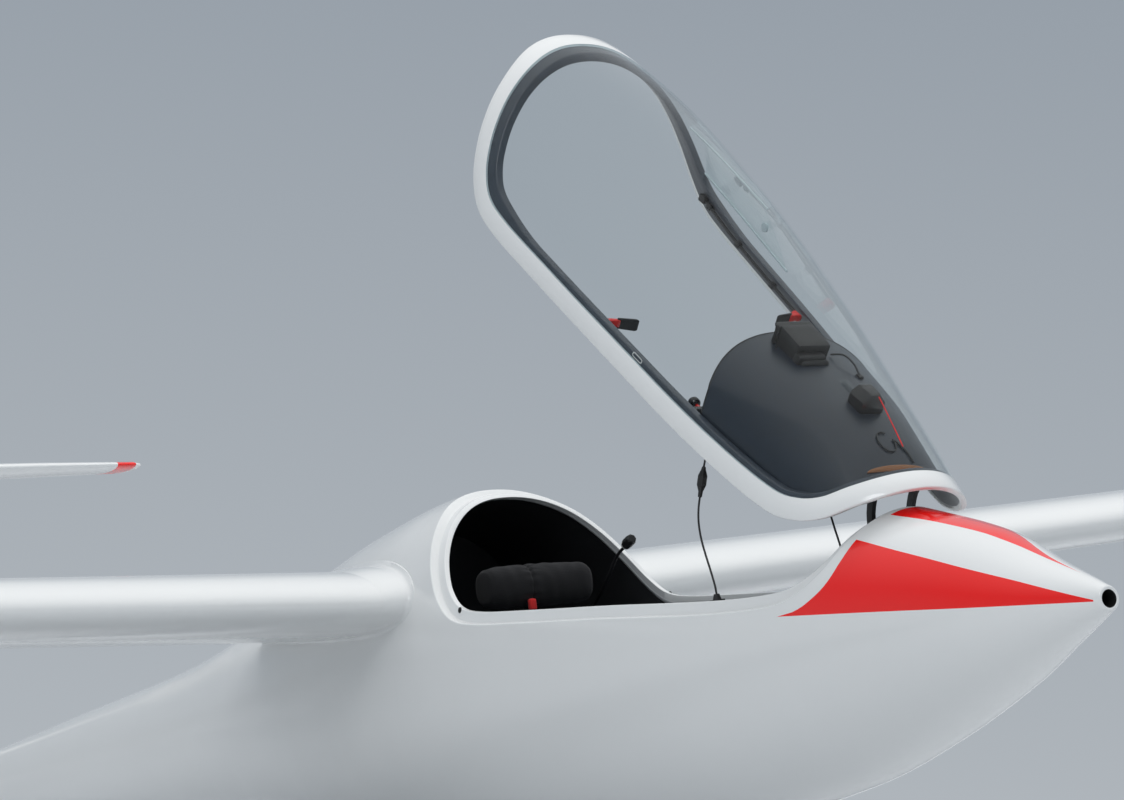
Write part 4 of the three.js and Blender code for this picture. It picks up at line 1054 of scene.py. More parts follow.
def brake_middle(span):
    """Station of the airbrake slot's middle, and the height of the upper surface there."""
    lead, chord, thickness, height = section(WING, BRAKE["span"])
    station = lead + BRAKE["share"] * chord
    top = height + chord * float(section_heights(BRAKE["share"], thickness)[0])
    rise = (WING[1][4] - WING[0][4]) / (WING[1][0] - WING[0][0])
    return station, top + (span - BRAKE["span"]) * rise


def slotted(lead, chord, thickness, height, span, last):
    """Upper surface, listed from the rear, with the airbrake's recess and slot cut into it."""
    station, level = brake_middle(span)
    wide = BRAKE["cap"] / 2 + GAP
    narrow = BRAKE["blade"] / 2 + GAP
    shallow, deep = level - 14, level - BRAKE["depth"] - GAP - 6
    aft_share = np.linspace(last, (station + wide - lead) / chord, 14)
    fore_share = round_share(32, (station - wide - lead) / chord)[::-1]

    def on_top(share):
        return np.stack([lead + share * chord, height + chord * section_heights(share, thickness)[0]], axis=1)

    steps = [
        (station + wide, shallow),
        (station + narrow, shallow),
        (station + narrow, deep),
        (station - narrow, deep),
        (station - narrow, shallow),
        (station - wide, shallow),
    ]
    return np.vstack([on_top(aft_share), steps, on_top(fore_share)])


def tip_ring(side, span):
    """Outline of the wing beyond the aileron, closing to a round edge at the tip."""
    lead, chord, thickness, height = (
        section(WING, span) if span < WING[2][0] else section(WING[2:], span, along)
    )
    closing = max(0.0, (span - (WING_TIP - TIP_ROUNDING)) / TIP_ROUNDING)
    thickness *= math.sqrt(max(0.02, 1 - closing**2))
    share = cosine(TIP_COLUMNS)
    up, low = section_heights(share, thickness)
    x = lead + share * chord
    top = np.stack([x, height + chord * up], axis=1)[::-1]
    bottom = np.stack([x, height + chord * low], axis=1)[1:]
    return in_plane(np.vstack([top, bottom]), side * span)


def wing(side, name):
    brake_ends = (BRAKE["span"] - BRAKE["length"] / 2 - GAP, BRAKE["span"] + BRAKE["length"] / 2 + GAP)
    stretches = [
        (WING_ROOT, FLAP[0] - GAP, False, False, 3),
        (FLAP[0] - GAP, brake_ends[0], True, False, 18),
        (brake_ends[0], brake_ends[1], True, True, 14),
        (brake_ends[1], FLAP[1] + GAP, True, False, 16),
        (FLAP[1] + GAP, AILERON[0] - GAP, False, False, 3),
        (AILERON[0] - GAP, AILERON[1] + GAP, True, False, 24),
    ]
    shape = Shape()
    for start, end, cove, slot, rows in stretches:
        spans = np.linspace(start, end, rows)
        shape.loft([wing_profile(side, span, cove, slot) for span in spans])
    start = AILERON[1] + GAP
    shape.loft([tip_ring(side, start + t * (WING_TIP - start)) for t in np.linspace(0, 1, 22)])
    piece("wing_skin_" + name, shape, skin, "airframe", "wing_" + name, weld=0.05)


FILLET = 12
ROOT_SUNK = 12


def root_outline(spans, share, upper):
    """Points of the root fairing's surface, each at its own place on the span."""
    lead, chord, thickness, height = (along(ROOT_SKIN, k, spans) for k in range(1, 5))
    heights = section_heights(share, thickness)[0 if upper else 1]
    return np.stack([lead + share * chord, spans, height + chord * heights], axis=-1)


def fairing(side, name):
    """Wing root, from just inside the fuselage skin, swelling out where it leaves the body."""
    columns = 56
    share = np.concatenate([cosine(columns)[::-1], cosine(columns)[1:]])
    upper = np.arange(len(share)) < columns
    start = np.full(len(share), 290.0)
    for _ in range(6):
        found = np.where(upper[:, None], root_outline(start, share, True), root_outline(start, share, False))
        start = body_side(found[:, 0], found[:, 2]) - ROOT_SUNK
    rows = []
    for t in np.linspace(0, 1, 30):
        spans = start + (WING_ROOT - start) * t
        row = np.where(upper[:, None], root_outline(spans, share, True), root_outline(spans, share, False))
        away = spans - body_side(row[:, 0], row[:, 2])
        depth = np.clip(FILLET - np.maximum(away, 0), 0, FILLET)
        swell = FILLET - np.sqrt(FILLET**2 - depth**2)
        ahead = np.gradient(row[:, [0, 2]], axis=0)
        ahead /= np.maximum(np.linalg.norm(ahead, axis=1), 1e-9)[:, None]
        outward = np.stack([-ahead[:, 1], ahead[:, 0]], axis=1)
        middle = row[:, [0, 2]].mean(axis=0)
        if np.sum(outward * (row[:, [0, 2]] - middle)) < 0:
            outward = -outward
        row[:, [0, 2]] += outward * swell[:, None]
        rows.append(row * (1, side, 1))
    piece("wing_root_" + name, Shape().grid(rows, wrap=True), skin, "airframe")


def trailing_surface(kind, side, name, ends):
    rows = []
    for span in np.linspace(*ends, 20):
        lead, chord, thickness, height, centre, radius, _ = hinge_of(span)
        share = np.linspace(HINGE_SHARE, 1, 12)[1:]
        up, low = section_heights(share, thickness)
        faces = (lead + share * chord, height + chord * low, height + chord * up)
        rows.append(in_plane(hinged_outline(centre, radius, 22, *faces), side * span))
    body = kind + "_" + name
    piece(kind + "_skin_" + name, Shape().loft(rows), skin, body, body)


for side, name in ((1, "right"), (-1, "left")):
    wing(side, name)
    fairing(side, name)
    trailing_surface("flap", side, name, FLAP)
    trailing_surface("aileron", side, name, AILERON)


# Tail
def tail_boom():
    stations = np.linspace(POD_END, BOOM_END, 120)
    angle = np.linspace(0, 2 * math.pi, 97)[:-1]
    shape = Shape().loft([body_point(s, angle) for s in stations])
    made = piece("tail_boom_skin", shape, skin, "airframe", "tail_boom")
    reach, half = TAIL_WELL["reach"], TAIL_WELL["half"]
    low = (TAIL_AXLE[0] - reach, -half, TAIL_WELL["low"])
    high = (TAIL_AXLE[0] + reach, half, TAIL_WELL["roof"])
    cut_out(made, low, high)
    well("tail_wheel_well", low, high)


def tailplane_section(span):
    lead, trail, thickness = (float(straight(TAILPLANE, k, abs(span))) for k in (1, 2, 3))
    if abs(span) > TAILPLANE[2][0]:
        lead, trail, thickness = (float(along(TAILPLANE[2:], k, abs(span))) for k in (1, 2, 3))
    return lead, trail - lead, thickness


def tail_radius(span):
    lead, chord, thickness = tailplane_section(span)
    return chord * float(section_heights((TAIL_HINGE - lead) / chord, thickness, 0)[0])


def tailplane_ring(span, cove):
    """Closed outline of the tailplane at a place on its span, with the elevator's cove or a whole edge."""
    lead, chord, thickness = tailplane_section(span)
    radius = tail_radius(span) + GAP
    last = (TAIL_HINGE - math.sqrt(radius**2 - (radius - GAP) ** 2) - lead) / chord if cove else 1.0
    share = round_share(TAIL_COLUMNS, last) if cove else cosine(TAIL_COLUMNS)
    up, low = section_heights(share, thickness, 0)
    x = lead + share * chord
    top = np.stack([x, TAIL_HEIGHT + chord * up], axis=1)[::-1]
    bottom = np.stack([x, TAIL_HEIGHT + chord * low], axis=1)[1:]
    outline = [top, bottom]
    if cove:
        begin = math.atan2(top[0][1] - TAIL_HEIGHT, top[0][0] - TAIL_HINGE)
        outline.append(cove_arc((TAIL_HINGE, TAIL_HEIGHT), radius, 2 * math.pi - begin, begin))
    return in_plane(np.vstack(outline), span)


def tailplane():
    tip, inner = TAILPLANE[-1][0], ELEVATOR + GAP
    shape = Shape()
    stretches = [(-tip, -inner, False, 16), (-inner, inner, True, 61), (inner, tip, False, 16)]
    for start, end, cove, rows in stretches:
        shape.loft([tailplane_ring(span, cove) for span in np.linspace(start, end, rows)])
    piece("tailplane_skin", shape, tail_skin, "airframe", "tailplane")


def elevator():
    rings = []
    for span in np.linspace(-ELEVATOR, ELEVATOR, 61):
        lead, chord, thickness = tailplane_section(span)
        share = np.linspace((TAIL_HINGE - lead) / chord, 1, 10)[1:]
        up, low = section_heights(share, thickness, 0)
        faces = (lead + share * chord, TAIL_HEIGHT + chord * low, TAIL_HEIGHT + chord * up)
        outline = hinged_outline((TAIL_HINGE, TAIL_HEIGHT), tail_radius(span), 20, *faces)
        rings.append(in_plane(outline, span))
    piece("elevator_skin", Shape().loft(rings), tail_skin, "elevator", "elevator")


def fin_section(height):
    lead, trail, thickness = (float(straight(FIN, k, height)) for k in (1, 2, 3))
    (foot, low), (head, high) = RUDDER
    hinge = foot + (height - low) / (high - low) * (head - foot)
    return lead, trail, thickness, hinge


def fin_half(height, station):
    lead, trail, thickness, _ = fin_section(height)
    chord = trail - lead
    share = np.clip((np.asarray(station, float) - lead) / chord, 0, 1)
    return chord * section_heights(share, thickness / chord, 0)[0]


FIN_FILLET = 30


def fin():
    widest = float(fin_half(0, fin_section(0)[3])) + GAP
    rings = []
    for height in np.concatenate([np.linspace(0, 200, 34), np.linspace(220, 1085, 24)]):
        lead, trail, thickness, hinge = fin_section(height)
        at_hinge = float(fin_half(height, hinge))
        edge = hinge - math.sqrt(widest**2 - min(at_hinge, widest) ** 2)
        share = round_share(FIN_COLUMNS, (edge - lead) / (trail - lead))
        x = lead + share * (trail - lead)
        half = fin_half(height, x)
        away = height - body_top(np.minimum(x, BOOM_END), half)
        depth = np.clip(FIN_FILLET - away, 0, FIN_FILLET)
        swell = (FIN_FILLET - np.sqrt(FIN_FILLET**2 - depth**2)) * np.clip((edge - x) / 40, 0, 1)
        half = half + swell
        x = x - swell * (1 - share) ** 6
        z = np.full(FIN_COLUMNS, float(height))
        begin = math.atan2(half[-1], x[-1] - hinge)
        arc = cove_arc((hinge, 0), widest, 2 * math.pi - begin, begin)
        arc = np.column_stack([arc, np.full(len(arc), float(height))])
        right = np.stack([x, half, z], axis=1)[::-1]
        left = np.stack([x, -half, z], axis=1)[1:]
        rings.append(np.vstack([right, left, arc]))
    piece("fin_skin", Shape().loft(rings), skin, "airframe", "fin")


def rudder():
    (_, low), (_, high) = RUDDER
    rings = []
    for height in np.linspace(low, high, 50):
        _, trail, _, hinge = fin_section(height)
        radius = float(fin_half(height, hinge))
        x = np.linspace(hinge, trail, 12)[1:]
        half = np.maximum(fin_half(height, x), 2)
        outline = hinged_outline((hinge, 0), radius, 20, x, -half, half)
        rings.append(np.column_stack([outline, np.full(len(outline), height)]))
    piece("rudder_skin", Shape().loft(rings), skin, "rudder", "rudder")


tail_boom()
tailplane()
elevator()
fin()
rudder()


# Canopy, drawn closed
BAND = CANOPY_GAP + CANOPY_BAND
GLASS_COLUMNS = 73


def canopy_frame():
    gap, depth = CANOPY_GAP, FRAME_DEPTH
    outer = [(gap, depth - 1.5), (gap, 3.2), (gap + 0.4, 1.7), (gap + 1.4, 0.6), (gap + 3, 0)]
    profile = outer + [(gap + 20, 0), (BAND - 0.8, 0), (BAND, 0.5), (BAND, depth)]
    profile += [(gap + 12, depth), (gap + 10.5, depth - 0.4), (gap + 9, depth), (gap + 1.2, depth)]
    loops = [rim_loop(*p) for p in profile]
    shape = Shape().grid(loops, wrap=True, close=True)
    columns = len(loops[0])
    dark = {8, 9}
    shape.marks = [1 if i // columns in dark else 0 for i in range(len(shape.faces))]
    piece("canopy_band", shape, [skin, slate], "canopy", "canopy_frame", sharp=50)


def canopy_lining():
    """Inner frame: wide round the arch, narrow along the rails."""
    edge = BAND + FIT
    shallow, deep = GLASS + 2 * FIT, LINING_DEPTH
    far = edge + LINING_WIDTH
    narrow = 18
    profile = [(edge, shallow), (far - 2.5, shallow), (far - 0.6, shallow + 0.8), (far, shallow + 2.6)]
    profile += [(far, deep - 3), (far - 0.8, deep - 0.9), (far - 3, deep), (edge + 3, deep), (edge, deep - 0.5)]
    loops = []
    for offset, depth in profile:
        loop = rim_loop(offset, depth)
        if offset > edge + 4:
            slim = rim_loop(offset - narrow, depth)
            share = np.clip((loop[:, :1] - 1700) / 260, 0, 1)
            share = share * share * (3 - 2 * share)
            loop = slim + (loop - slim) * share
        loops.append(loop)
    shape = Shape().grid(loops, wrap=True, close=True)
    piece("canopy_lining", shape, slate, "canopy", "canopy_inner_frame", sharp=50)


def glass_rows(offset, depth, columns=GLASS_COLUMNS, count=150):
    rows = []
    share = np.linspace(0, 1, columns)
    for station, _, height in rim(offset, depth, count):
        top, middle, upper = (float(along(BODY, k, station)) for k in (1, 3, 5))
        edge = math.asin(min(1.0, max(0.0, (height - middle) / (top - depth - middle)) ** (upper / 2)))
        rows.append(body_point(station, edge + share * (math.pi - 2 * edge), depth))
    return np.array(rows)


def canopy_glass():
    edge = BAND + FIT
    outer, inner = glass_rows(edge, FIT), glass_rows(edge, GLASS + FIT)
    shape = Shape().grid(outer).grid(inner)
    rims = [
        np.vstack([rows[:, 0], rows[::-1, -1]]) for rows in (outer, inner)
    ]
    shape.grid(rims, mark=1)
    piece("canopy_shell", shape, [acrylic, acrylic_edge], "canopy", "canopy_glass", sharp=60)


def side_window():
    """Clear sliding window inside the port glass, in its runners."""
    depth = GLASS + 2 * FIT
    corners = [(1560, 240), (1950, 284), (1930, 372), (1640, 360)]

    def place(station, height, inset):
        return (station, -float(body_side(station, height, inset)), height)

    def patch(inset, shrink):
        middle = np.mean(corners, axis=0)
        (a, b, c, d) = [middle + (np.array(p) - middle) * (1 - shrink) for p in corners]
        found = []
        for v in np.linspace(0, 1, 8):
            spots = [(a * (1 - u) + b * u) * (1 - v) + (d * (1 - u) + c * u) * v for u in np.linspace(0, 1, 24)]
            found.append([place(*spot, inset) for spot in spots])
        return found

    shape = Shape().sheet(patch(depth + 0.2, 0.0), patch(depth + 2.6, 0.0))
    piece("vent_window", shape, window_clear, "canopy", "side_window")
    runner = Shape()
    for low, high in (((1548, 236), (1968, 283)), ((1600, 366), (1990, 381))):
        t = np.linspace(0, 1, 20)[:, None]
        line = (1 - t) * np.array(low) + t * np.array(high)
        path = [place(s, h, depth + 3.2) for s, h in line]
        runner.tube(path, 2.6, 8)
    knob = place(1640, 300, depth + 7)
    runner.lathe([(-4, 0.1), (-4, 9), (-2, 11), (3, 11), (4, 9), (4, 0.1)], knob, "y", 28)
    piece("vent_window_runners", runner, acrylic_edge, "canopy")


COWL = [
    (668, 129, 224),
    (690, 130, 236),
    (760, 132, 262),
    (880, 138, 285),
    (1020, 146, 293),
    (1160, 154, 295),
    (1260, 160, 292),
]
COWL_INSET = LINING_DEPTH + 4
COWL_FOOT = 46
COWL_CUT = (1060, 1166, 240)
COWL_BEND = 160
COWL_MIDDLE = 1130
COWL_POWER = 2.15


def cowl_end(y):
    """Station of the instrument cover's rear edge at a distance from the centre line."""
    side, centre, half = COWL_CUT
    t = np.linspace(0, 1, 60)
    reach = (1 - t) ** 2 * half + 2 * t * (1 - t) * COWL_BEND
    station = (1 - t) ** 2 * side + 2 * t * (1 - t) * centre + t**2 * centre
    return np.interp(abs(y), reach[::-1], station[::-1])


def cowl_line(station):
    """Height of the instrument cover's foot and of its top at a station."""
    rail = float(edge_height([station], COWL_FOOT)[0])
    top = float(along(COWL, 2, station))
    return min(max(float(along(COWL, 1, station)), rail), top - 12), top


def cowl_point(station, angle, inset):
    base, top = cowl_line(station)
    half = float(body_side(station, base, COWL_INSET)) - inset
    y = half * float(rounded(math.cos(angle), COWL_POWER))
    z = base + (top - inset - base) * float(rounded(abs(math.sin(angle)), COWL_POWER))
    limit = float(body_side(station, z, LINING_DEPTH + FIT + inset))
    return (station, max(-limit, min(limit, y)), z)


def instrument_cover():
    def rows(inset, ahead):
        found = []
        for u in np.linspace(0, 1, 44):
            row = []
            for angle in np.linspace(0, math.pi, 67):
                y = cowl_point(COWL_MIDDLE, angle, inset)[1]
                end = float(cowl_end(y))
                station = COWL[0][0] + ahead + u * (end - COWL[0][0] - ahead)
                row.append(cowl_point(station, angle, inset))
            found.append(row)
        return np.array(found)

    shape = Shape().sheet(rows(0, 0), rows(5, 5))
    front = rows(0, 0)[0]
    shape.add(front, [list(range(len(front)))])
    piece("instrument_cover", shape, cover_finish, "canopy", "glareshield")

    # rolled edge along the rear of the cover
    lip = []
    for angle in np.linspace(0.04, math.pi - 0.04, 90):
        y = cowl_point(COWL_MIDDLE, angle, 2.5)[1]
        lip.append(cowl_point(float(cowl_end(y)), angle, 2.5))
    piece("cover_lip", Shape().tube(lip, 3.4, 10), matt, "canopy")


canopy_frame()
canopy_lining()
canopy_glass()
side_window()
instrument_cover()


# Seat and harness
SEAT_LINE = [
    (1190, -185),
    (1300, -165),
    (1470, -222),
    (1620, -240),
    (1760, -196),
    (1920, -62),
    (2040, 96),
    (2092, 200),
]
PAN = {"thickness": 8, "half": 270, "bolster": (176, 236, 30)}
SEAT_PAD = {"from": 0.03, "to": 0.46, "thickness": 38, "half": 165, "seams": (0.13, 0.215, 0.30, 0.385)}
BACK_PAD = {"from": 0.53, "to": 0.86, "thickness": 42, "half": 165, "seams": (0.60, 0.67, 0.74, 0.81)}
HEADREST = {"place": (2080, 0, 262), "radius": 57, "half": 150, "seam": 29}
VOXEL = 0.006
SIM_FRAMES = 20
seat_path = even(spline(SEAT_LINE, 1600), 500)
seat_runs = np.concatenate([[0], np.cumsum(np.linalg.norm(np.diff(seat_path, axis=0), axis=1))])
seat_length = seat_runs[-1]
seat_ahead = np.gradient(seat_path, axis=0)
seat_ahead /= np.linalg.norm(seat_ahead, axis=1)[:, None]
seat_normal = np.stack([-seat_ahead[:, 1], seat_ahead[:, 0]], axis=1)


def seat_point(run, y, rise):
    """Point at a run along the seat line, a distance off its middle, and a rise above the line."""
    run, y, rise = np.broadcast_arrays(np.asarray(run, float), y, rise)
    x, z, nx, nz = (np.interp(run, seat_runs, v) for v in (*seat_path.T, *seat_normal.T))
    return np.stack([x + nx * rise, y, z + nz * rise], axis=-1)


def seat_place(points):
    """Run, distance off the middle, and rise of each point."""
    points = np.asarray(points, float)
    flat = points[:, [0, 2]]
    near = np.empty(len(points), int)
    for start in range(0, len(points), 4000):
        part = flat[start : start + 4000]
        near[start : start + 4000] = ((part[:, None] - seat_path[None]) ** 2).sum(axis=2).argmin(axis=1)
    rise = ((flat - seat_path[near]) * seat_normal[near]).sum(axis=1)
    slide = ((flat - seat_path[near]) * seat_ahead[near]).sum(axis=1)
    return np.stack([seat_runs[near] + slide, points[:, 1], rise], axis=1)


def ripple(points, size, seed):
    """Soft irregular value from crossed waves, between about -1 and 1."""
    shift = np.array([1.7, 4.1, 2.9]) * seed
    total = np.zeros(len(points))
    for k, (a, b, c) in enumerate(((1, 0.6, 0.3), (-0.5, 1.1, 0.7), (0.4, -0.8, 1.2), (1.3, 0.9, -0.6))):
        total += np.sin((points @ np.array([a, b, c])) * (1 + 0.37 * k) / size + shift[k % 3] * (k + 1))
    return total / 4


def applied(made):
    """The object's mesh with its modifiers worked in."""
    bpy.context.view_layer.update()
    result = bpy.data.meshes.new_from_object(made.evaluated_get(bpy.context.evaluated_depsgraph_get()))
    made.modifiers.clear()
    made.data = result
    return result


def read_points(mesh):
    flat = np.empty(len(mesh.vertices) * 3, np.float32)
    mesh.vertices.foreach_get("co", flat)
    return flat.reshape(-1, 3).astype(float)


def swollen(made, start, cap):
    """The object's points once it has filled as cloth, none of them moved further than the cap."""
    sim = made.modifiers.new("fill", "CLOTH")
    sim.settings.use_pressure = True
    sim.settings.uniform_pressure_force = 4
    sim.settings.effector_weights.gravity = 0
    sim.settings.quality = 5
    for frame_number in range(1, SIM_FRAMES + 1):
        bpy.context.scene.frame_set(frame_number)
    moved = read_points(applied(made)) - start
    bpy.context.scene.frame_set(1)
    far = np.linalg.norm(moved, axis=1)[:, None]
    return start + moved * np.minimum(1, cap / 1000 / np.maximum(far, 1e-9))


def filled(name, shape, material, stands_for, cap, finish):
    """Padded piece: the form is remeshed, swollen as filled cloth, smoothed, and then sewn by finish."""
    made = placed(name, mesh_of(name, shape))
    remesh = made.modifiers.new("even", "REMESH")
    remesh.mode = "VOXEL"
    remesh.voxel_size = VOXEL
    start = read_points(applied(made))
    start = swollen(made, start, cap)
    made.data.vertices.foreach_set("co", start.astype(np.float32).ravel())
    smooth = made.modifiers.new("even", "SMOOTH")
    smooth.iterations = 3
    made.modifiers.new("finer", "SUBSURF").levels = 1
    mesh = applied(made)
    points = finish(read_points(mesh) * 1000)
    mesh.vertices.foreach_set("co", (points / 1000).astype(np.float32).ravel())
    mesh.update()
    mesh.materials.clear()
    mesh.materials.append(material)
    mesh.polygons.foreach_set("use_smooth", [True] * len(mesh.polygons))
    mesh.transform(PARKED)
    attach(made, "airframe")
    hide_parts(stands_for)
    return points


def seat_pan():
    inner, outer, lift = PAN["bolster"]
    across = np.sin(np.linspace(-math.pi / 2, math.pi / 2, 61))
    wall = CABIN_WALL + 3

    def rows(rise):
        found = []
        for run in np.linspace(0, seat_length, 110):
            y = across * PAN["half"]
            share = np.clip((np.abs(y) - inner) / (outer - inner), 0, 1)
            ends = min(1.0, run / 90, (seat_length - run) / 60)
            side = lift * share**2 * (3 - 2 * share) * ends
            row = seat_point(run, y, rise + side)
            for _ in range(3):
                limit = body_side(row[:, 0], row[:, 2], wall)
                row[:, 1] = np.clip(row[:, 1], -limit, limit)
            found.append(row)
        return np.array(found)

    half = PAN["thickness"] / 2
    shape = Shape().sheet(rows(half), rows(-half))
    piece("seat_shell", shape, slate, "airframe", "seat_pan", sharp=50)


def pad_shape(pad, start):
    """Flat form along the seat line, smaller than the pad, that the cloth then fills."""
    low = PAN["thickness"] / 2 + 2
    middle = low + (pad["thickness"] - 2 * start) / 2
    deep = (pad["thickness"] - 2 * start) / 2
    centre = (pad["from"] + pad["to"]) / 2 * seat_length
    half = (pad["to"] - pad["from"]) / 2 * seat_length - start
    wide = pad["half"] - start
    angle = np.linspace(0, 2 * math.pi, 56, endpoint=False)
    rings = []
    for t in np.sin(np.linspace(-1.53, 1.53, 60)):
        end = (1 - abs(t) ** 12) ** (1 / 12)
        y = wide * (1 - 0.035 * (1 - t * t)) * end * rounded(np.cos(angle), 5)
        rise = middle + deep * (0.55 + 0.45 * end) * rounded(np.sin(angle), 2.6)
        run = centre + t * half * (1 - 0.03 * (1 - (y / wide) ** 2))
        rings.append(seat_point(run, y, rise))
    return Shape().loft(rings)


def cushion(name, pad):
    base = PAN["thickness"] / 2 + 0.4
    top = PAN["thickness"] / 2 + pad["thickness"]
    low, high = pad["from"] * seat_length, pad["to"] * seat_length

    def sewn(points):
        place = seat_place(points)
        run, y, rise = place.T
        upper = np.clip((rise - (base + top) / 2) / 8, 0, 1)
        wave = ripple(points, 34, 1) * 0.9 + ripple(points, 13, 2) * 0.35
        rise = rise + upper * wave
        for share in pad["seams"]:
            away = run - share * seat_length
            pucker = 1 + 0.28 * np.sin(y / 5.2 + 0.8 * np.sin(y / 17))
            groove = 5.5 * np.exp(-((away / 6) ** 2)) + 0.9 * pucker * np.exp(-((away / 15) ** 2))
            rise = rise - upper * groove
        edge = np.minimum(pad["half"] - np.abs(y), np.minimum(run - low, high - run))
        rise = rise - upper * 3.2 * np.exp(-(((edge - 24) / 4.5) ** 2))
        rise = np.clip(rise, base, top + 6)
        return seat_point(run, y, rise)

    return filled(name, pad_shape(pad, 9), upholstery, name.replace("_pad", "_cushion"), 9, sewn)


def piping(name, points, pad):
    """Round cord sewn along the widest line of a pad."""
    run, y, rise = seat_place(points).T
    centre = (pad["from"] + pad["to"]) / 2 * seat_length
    level = PAN["thickness"] / 2 + pad["thickness"] * 0.62
    near = np.abs(rise - level) < 6
    angle = np.arctan2(y[near], run[near] - centre)
    reach = np.hypot(y[near], run[near] - centre)
    bins = 128
    slot = ((angle + math.pi) / (2 * math.pi) * bins).astype(int) % bins
    widest = np.array([reach[slot == k].max() if np.any(slot == k) else np.nan for k in range(bins)])
    known = ~np.isnan(widest)
    widest = np.interp(np.arange(bins), np.flatnonzero(known), widest[known])
    turn_by = (np.arange(bins) + 0.5) / bins * 2 * math.pi - math.pi
    loop = seat_point(centre + widest * np.cos(turn_by), widest * np.sin(turn_by), level)
    shape = Shape()
    angle = np.linspace(0, 2 * math.pi, 8, endpoint=False)
    ahead = np.roll(loop, -1, axis=0) - np.roll(loop, 1, axis=0)
    ahead /= np.linalg.norm(ahead, axis=1)[:, None]
    out = loop - loop.mean(axis=0)
    out -= ahead * (out * ahead).sum(axis=1)[:, None]
    out /= np.linalg.norm(out, axis=1)[:, None]
    up = np.cross(ahead, out)
    cos, sin = np.cos(angle)[:, None], np.sin(angle)[:, None]
    rings = [loop[k] + 2.4 * (cos * out[k] + sin * up[k]) for k in range(bins)]
    shape.grid(rings, wrap=True, close=True)
    piece(name, shape, upholstery, "airframe")


def headrest():
    place, radius, half, seam = (HEADREST[k] for k in ("place", "radius", "half", "seam"))
    start = 8
    angle = np.linspace(0, 2 * math.pi, 64, endpoint=False)
    rings = []
    for t in np.sin(np.linspace(-1.5, 1.5, 50)):
        end = (1 - abs(t) ** 7) ** (1 / 7)
        size = (radius - start) * (0.25 + 0.75 * end)
        x, z = size * rounded(np.cos(angle), 2.7), size * rounded(np.sin(angle), 2.7)
        rings.append(np.stack([x, np.full(64, t * (half - start)), z], axis=1) + place)

    def sewn(points):
        away = points - place
        out = np.hypot(away[:, 0], away[:, 2])
        turn_by = np.arctan2(away[:, 2], away[:, 0])
        near = np.exp(-(((away[:, 1] - seam) / 3.2) ** 2))
        gather = np.exp(-(((away[:, 1] - seam) / 20) ** 2)) * np.sin(turn_by * 17 + 2 * np.sin(turn_by * 3))
        fold = ripple(points * (0.45, 1.6, 0.45), 16, 3)
        change = -4.5 * near + 0.9 * gather + 1.3 * fold
        for end in (-1, 1):
            change -= 2.0 * np.exp(-(((away[:, 1] - end * (half - 14)) / 3.5) ** 2))
        share = 1 + change * np.clip(out / 30, 0, 1) / np.maximum(out, 1)
        away[:, 0] *= share
        away[:, 2] *= share
        limit = radius + 3
        out = np.hypot(away[:, 0], away[:, 2])
        share = np.minimum(1, limit / np.maximum(out, 1))
        away[:, 0] *= share
        away[:, 2] *= share
        return away + place

    filled("headrest_roll", Shape().loft(rings), upholstery, "headrest", 9, sewn)
    tab = Shape().box((2030, 28, 200), (2046, 46, 228), 5)
    piece("headrest_tab", tab, wool)


def over(padding, y, runs, half):
    """Height of the padding under a strap, run by run. The padding is given as places on the seat."""
    place = padding[np.abs(padding[:, 1] - y) < half + 6]
    base = PAN["thickness"] / 2
    found = []
    for run in runs:
        near = place[np.abs(place[:, 0] - run) < 9]
        found.append(max(base, near[:, 2].max() if len(near) else base))
    found = np.array(found)
    for _ in range(6):
        found = np.maximum(found, np.convolve(np.pad(found, 2, mode="edge"), np.ones(5) / 5, "valid"))
    return found


def strap(shape, line, across, half, thickness=2.2):
    """Flat webbing along a line, with its width across."""
    line, across = np.asarray(line, float), np.asarray(across, float)
    ahead = np.gradient(line, axis=0)
    out = np.cross(ahead, across)
    out /= np.linalg.norm(out, axis=1)[:, None]
    share = np.array([-1, -0.96, -0.85, -0.5, 0, 0.5, 0.85, 0.96, 1])
    bulge = np.array([0.35, 0.8, 1, 0.92, 0.95, 0.92, 1, 0.8, 0.35]) * thickness / 2
    ring = []
    for side in (1, -1):
        order = slice(None) if side > 0 else slice(None, None, -1)
        ring += list(zip(share[order] * half, side * bulge[order]))
    rings = [[p + a * across[i] + b * out[i] for a, b in ring] for i, p in enumerate(line)]
    return shape.loft(rings)


STRAP_HALF = 22
SHOULDER_STRAPS = (-62, 62)
LAP_RUN = 0.445 * seat_length


def harness_straps(points):
    half = STRAP_HALF
    shape = Shape()
    for y in SHOULDER_STRAPS:
        runs = np.linspace(0.47, 0.985, 90) * seat_length
        rise = over(points, y, runs, half) + 1.6
        rise[-6:] = np.linspace(rise[-7], PAN["thickness"] / 2 - 3, 6)
        spread_y = y * np.interp(runs / seat_length, [0.47, 0.6], [0.62, 1.0])
        line = seat_point(runs, spread_y, rise)
        strap(shape, line, np.tile([0.0, 1, 0], (len(line), 1)), half)
    for side in (-1, 1):
        y = np.linspace(18, 232, 60)
        run = LAP_RUN + 26 * np.sin(y / 232 * math.pi / 2)
        rise = np.array([over(points, side * v, [r], 10)[0] for v, r in zip(y, run)]) + 1.6
        rise = np.maximum(rise, np.interp(y, [18, 160, 190, 232], [46, 44, 22, 30]))
        rise = np.convolve(np.pad(rise, 4, mode="edge"), np.ones(9) / 9, "valid")
        line = seat_point(run, side * y, rise)
        ahead = np.gradient(line, axis=0)
        across = np.cross(ahead, np.tile([0.3, 0.0, 1.0], (len(line), 1)))
        across /= np.linalg.norm(across, axis=1)[:, None]
        strap(shape, line, across, half)
    piece("harness_webbing", shape, webbing, "airframe")


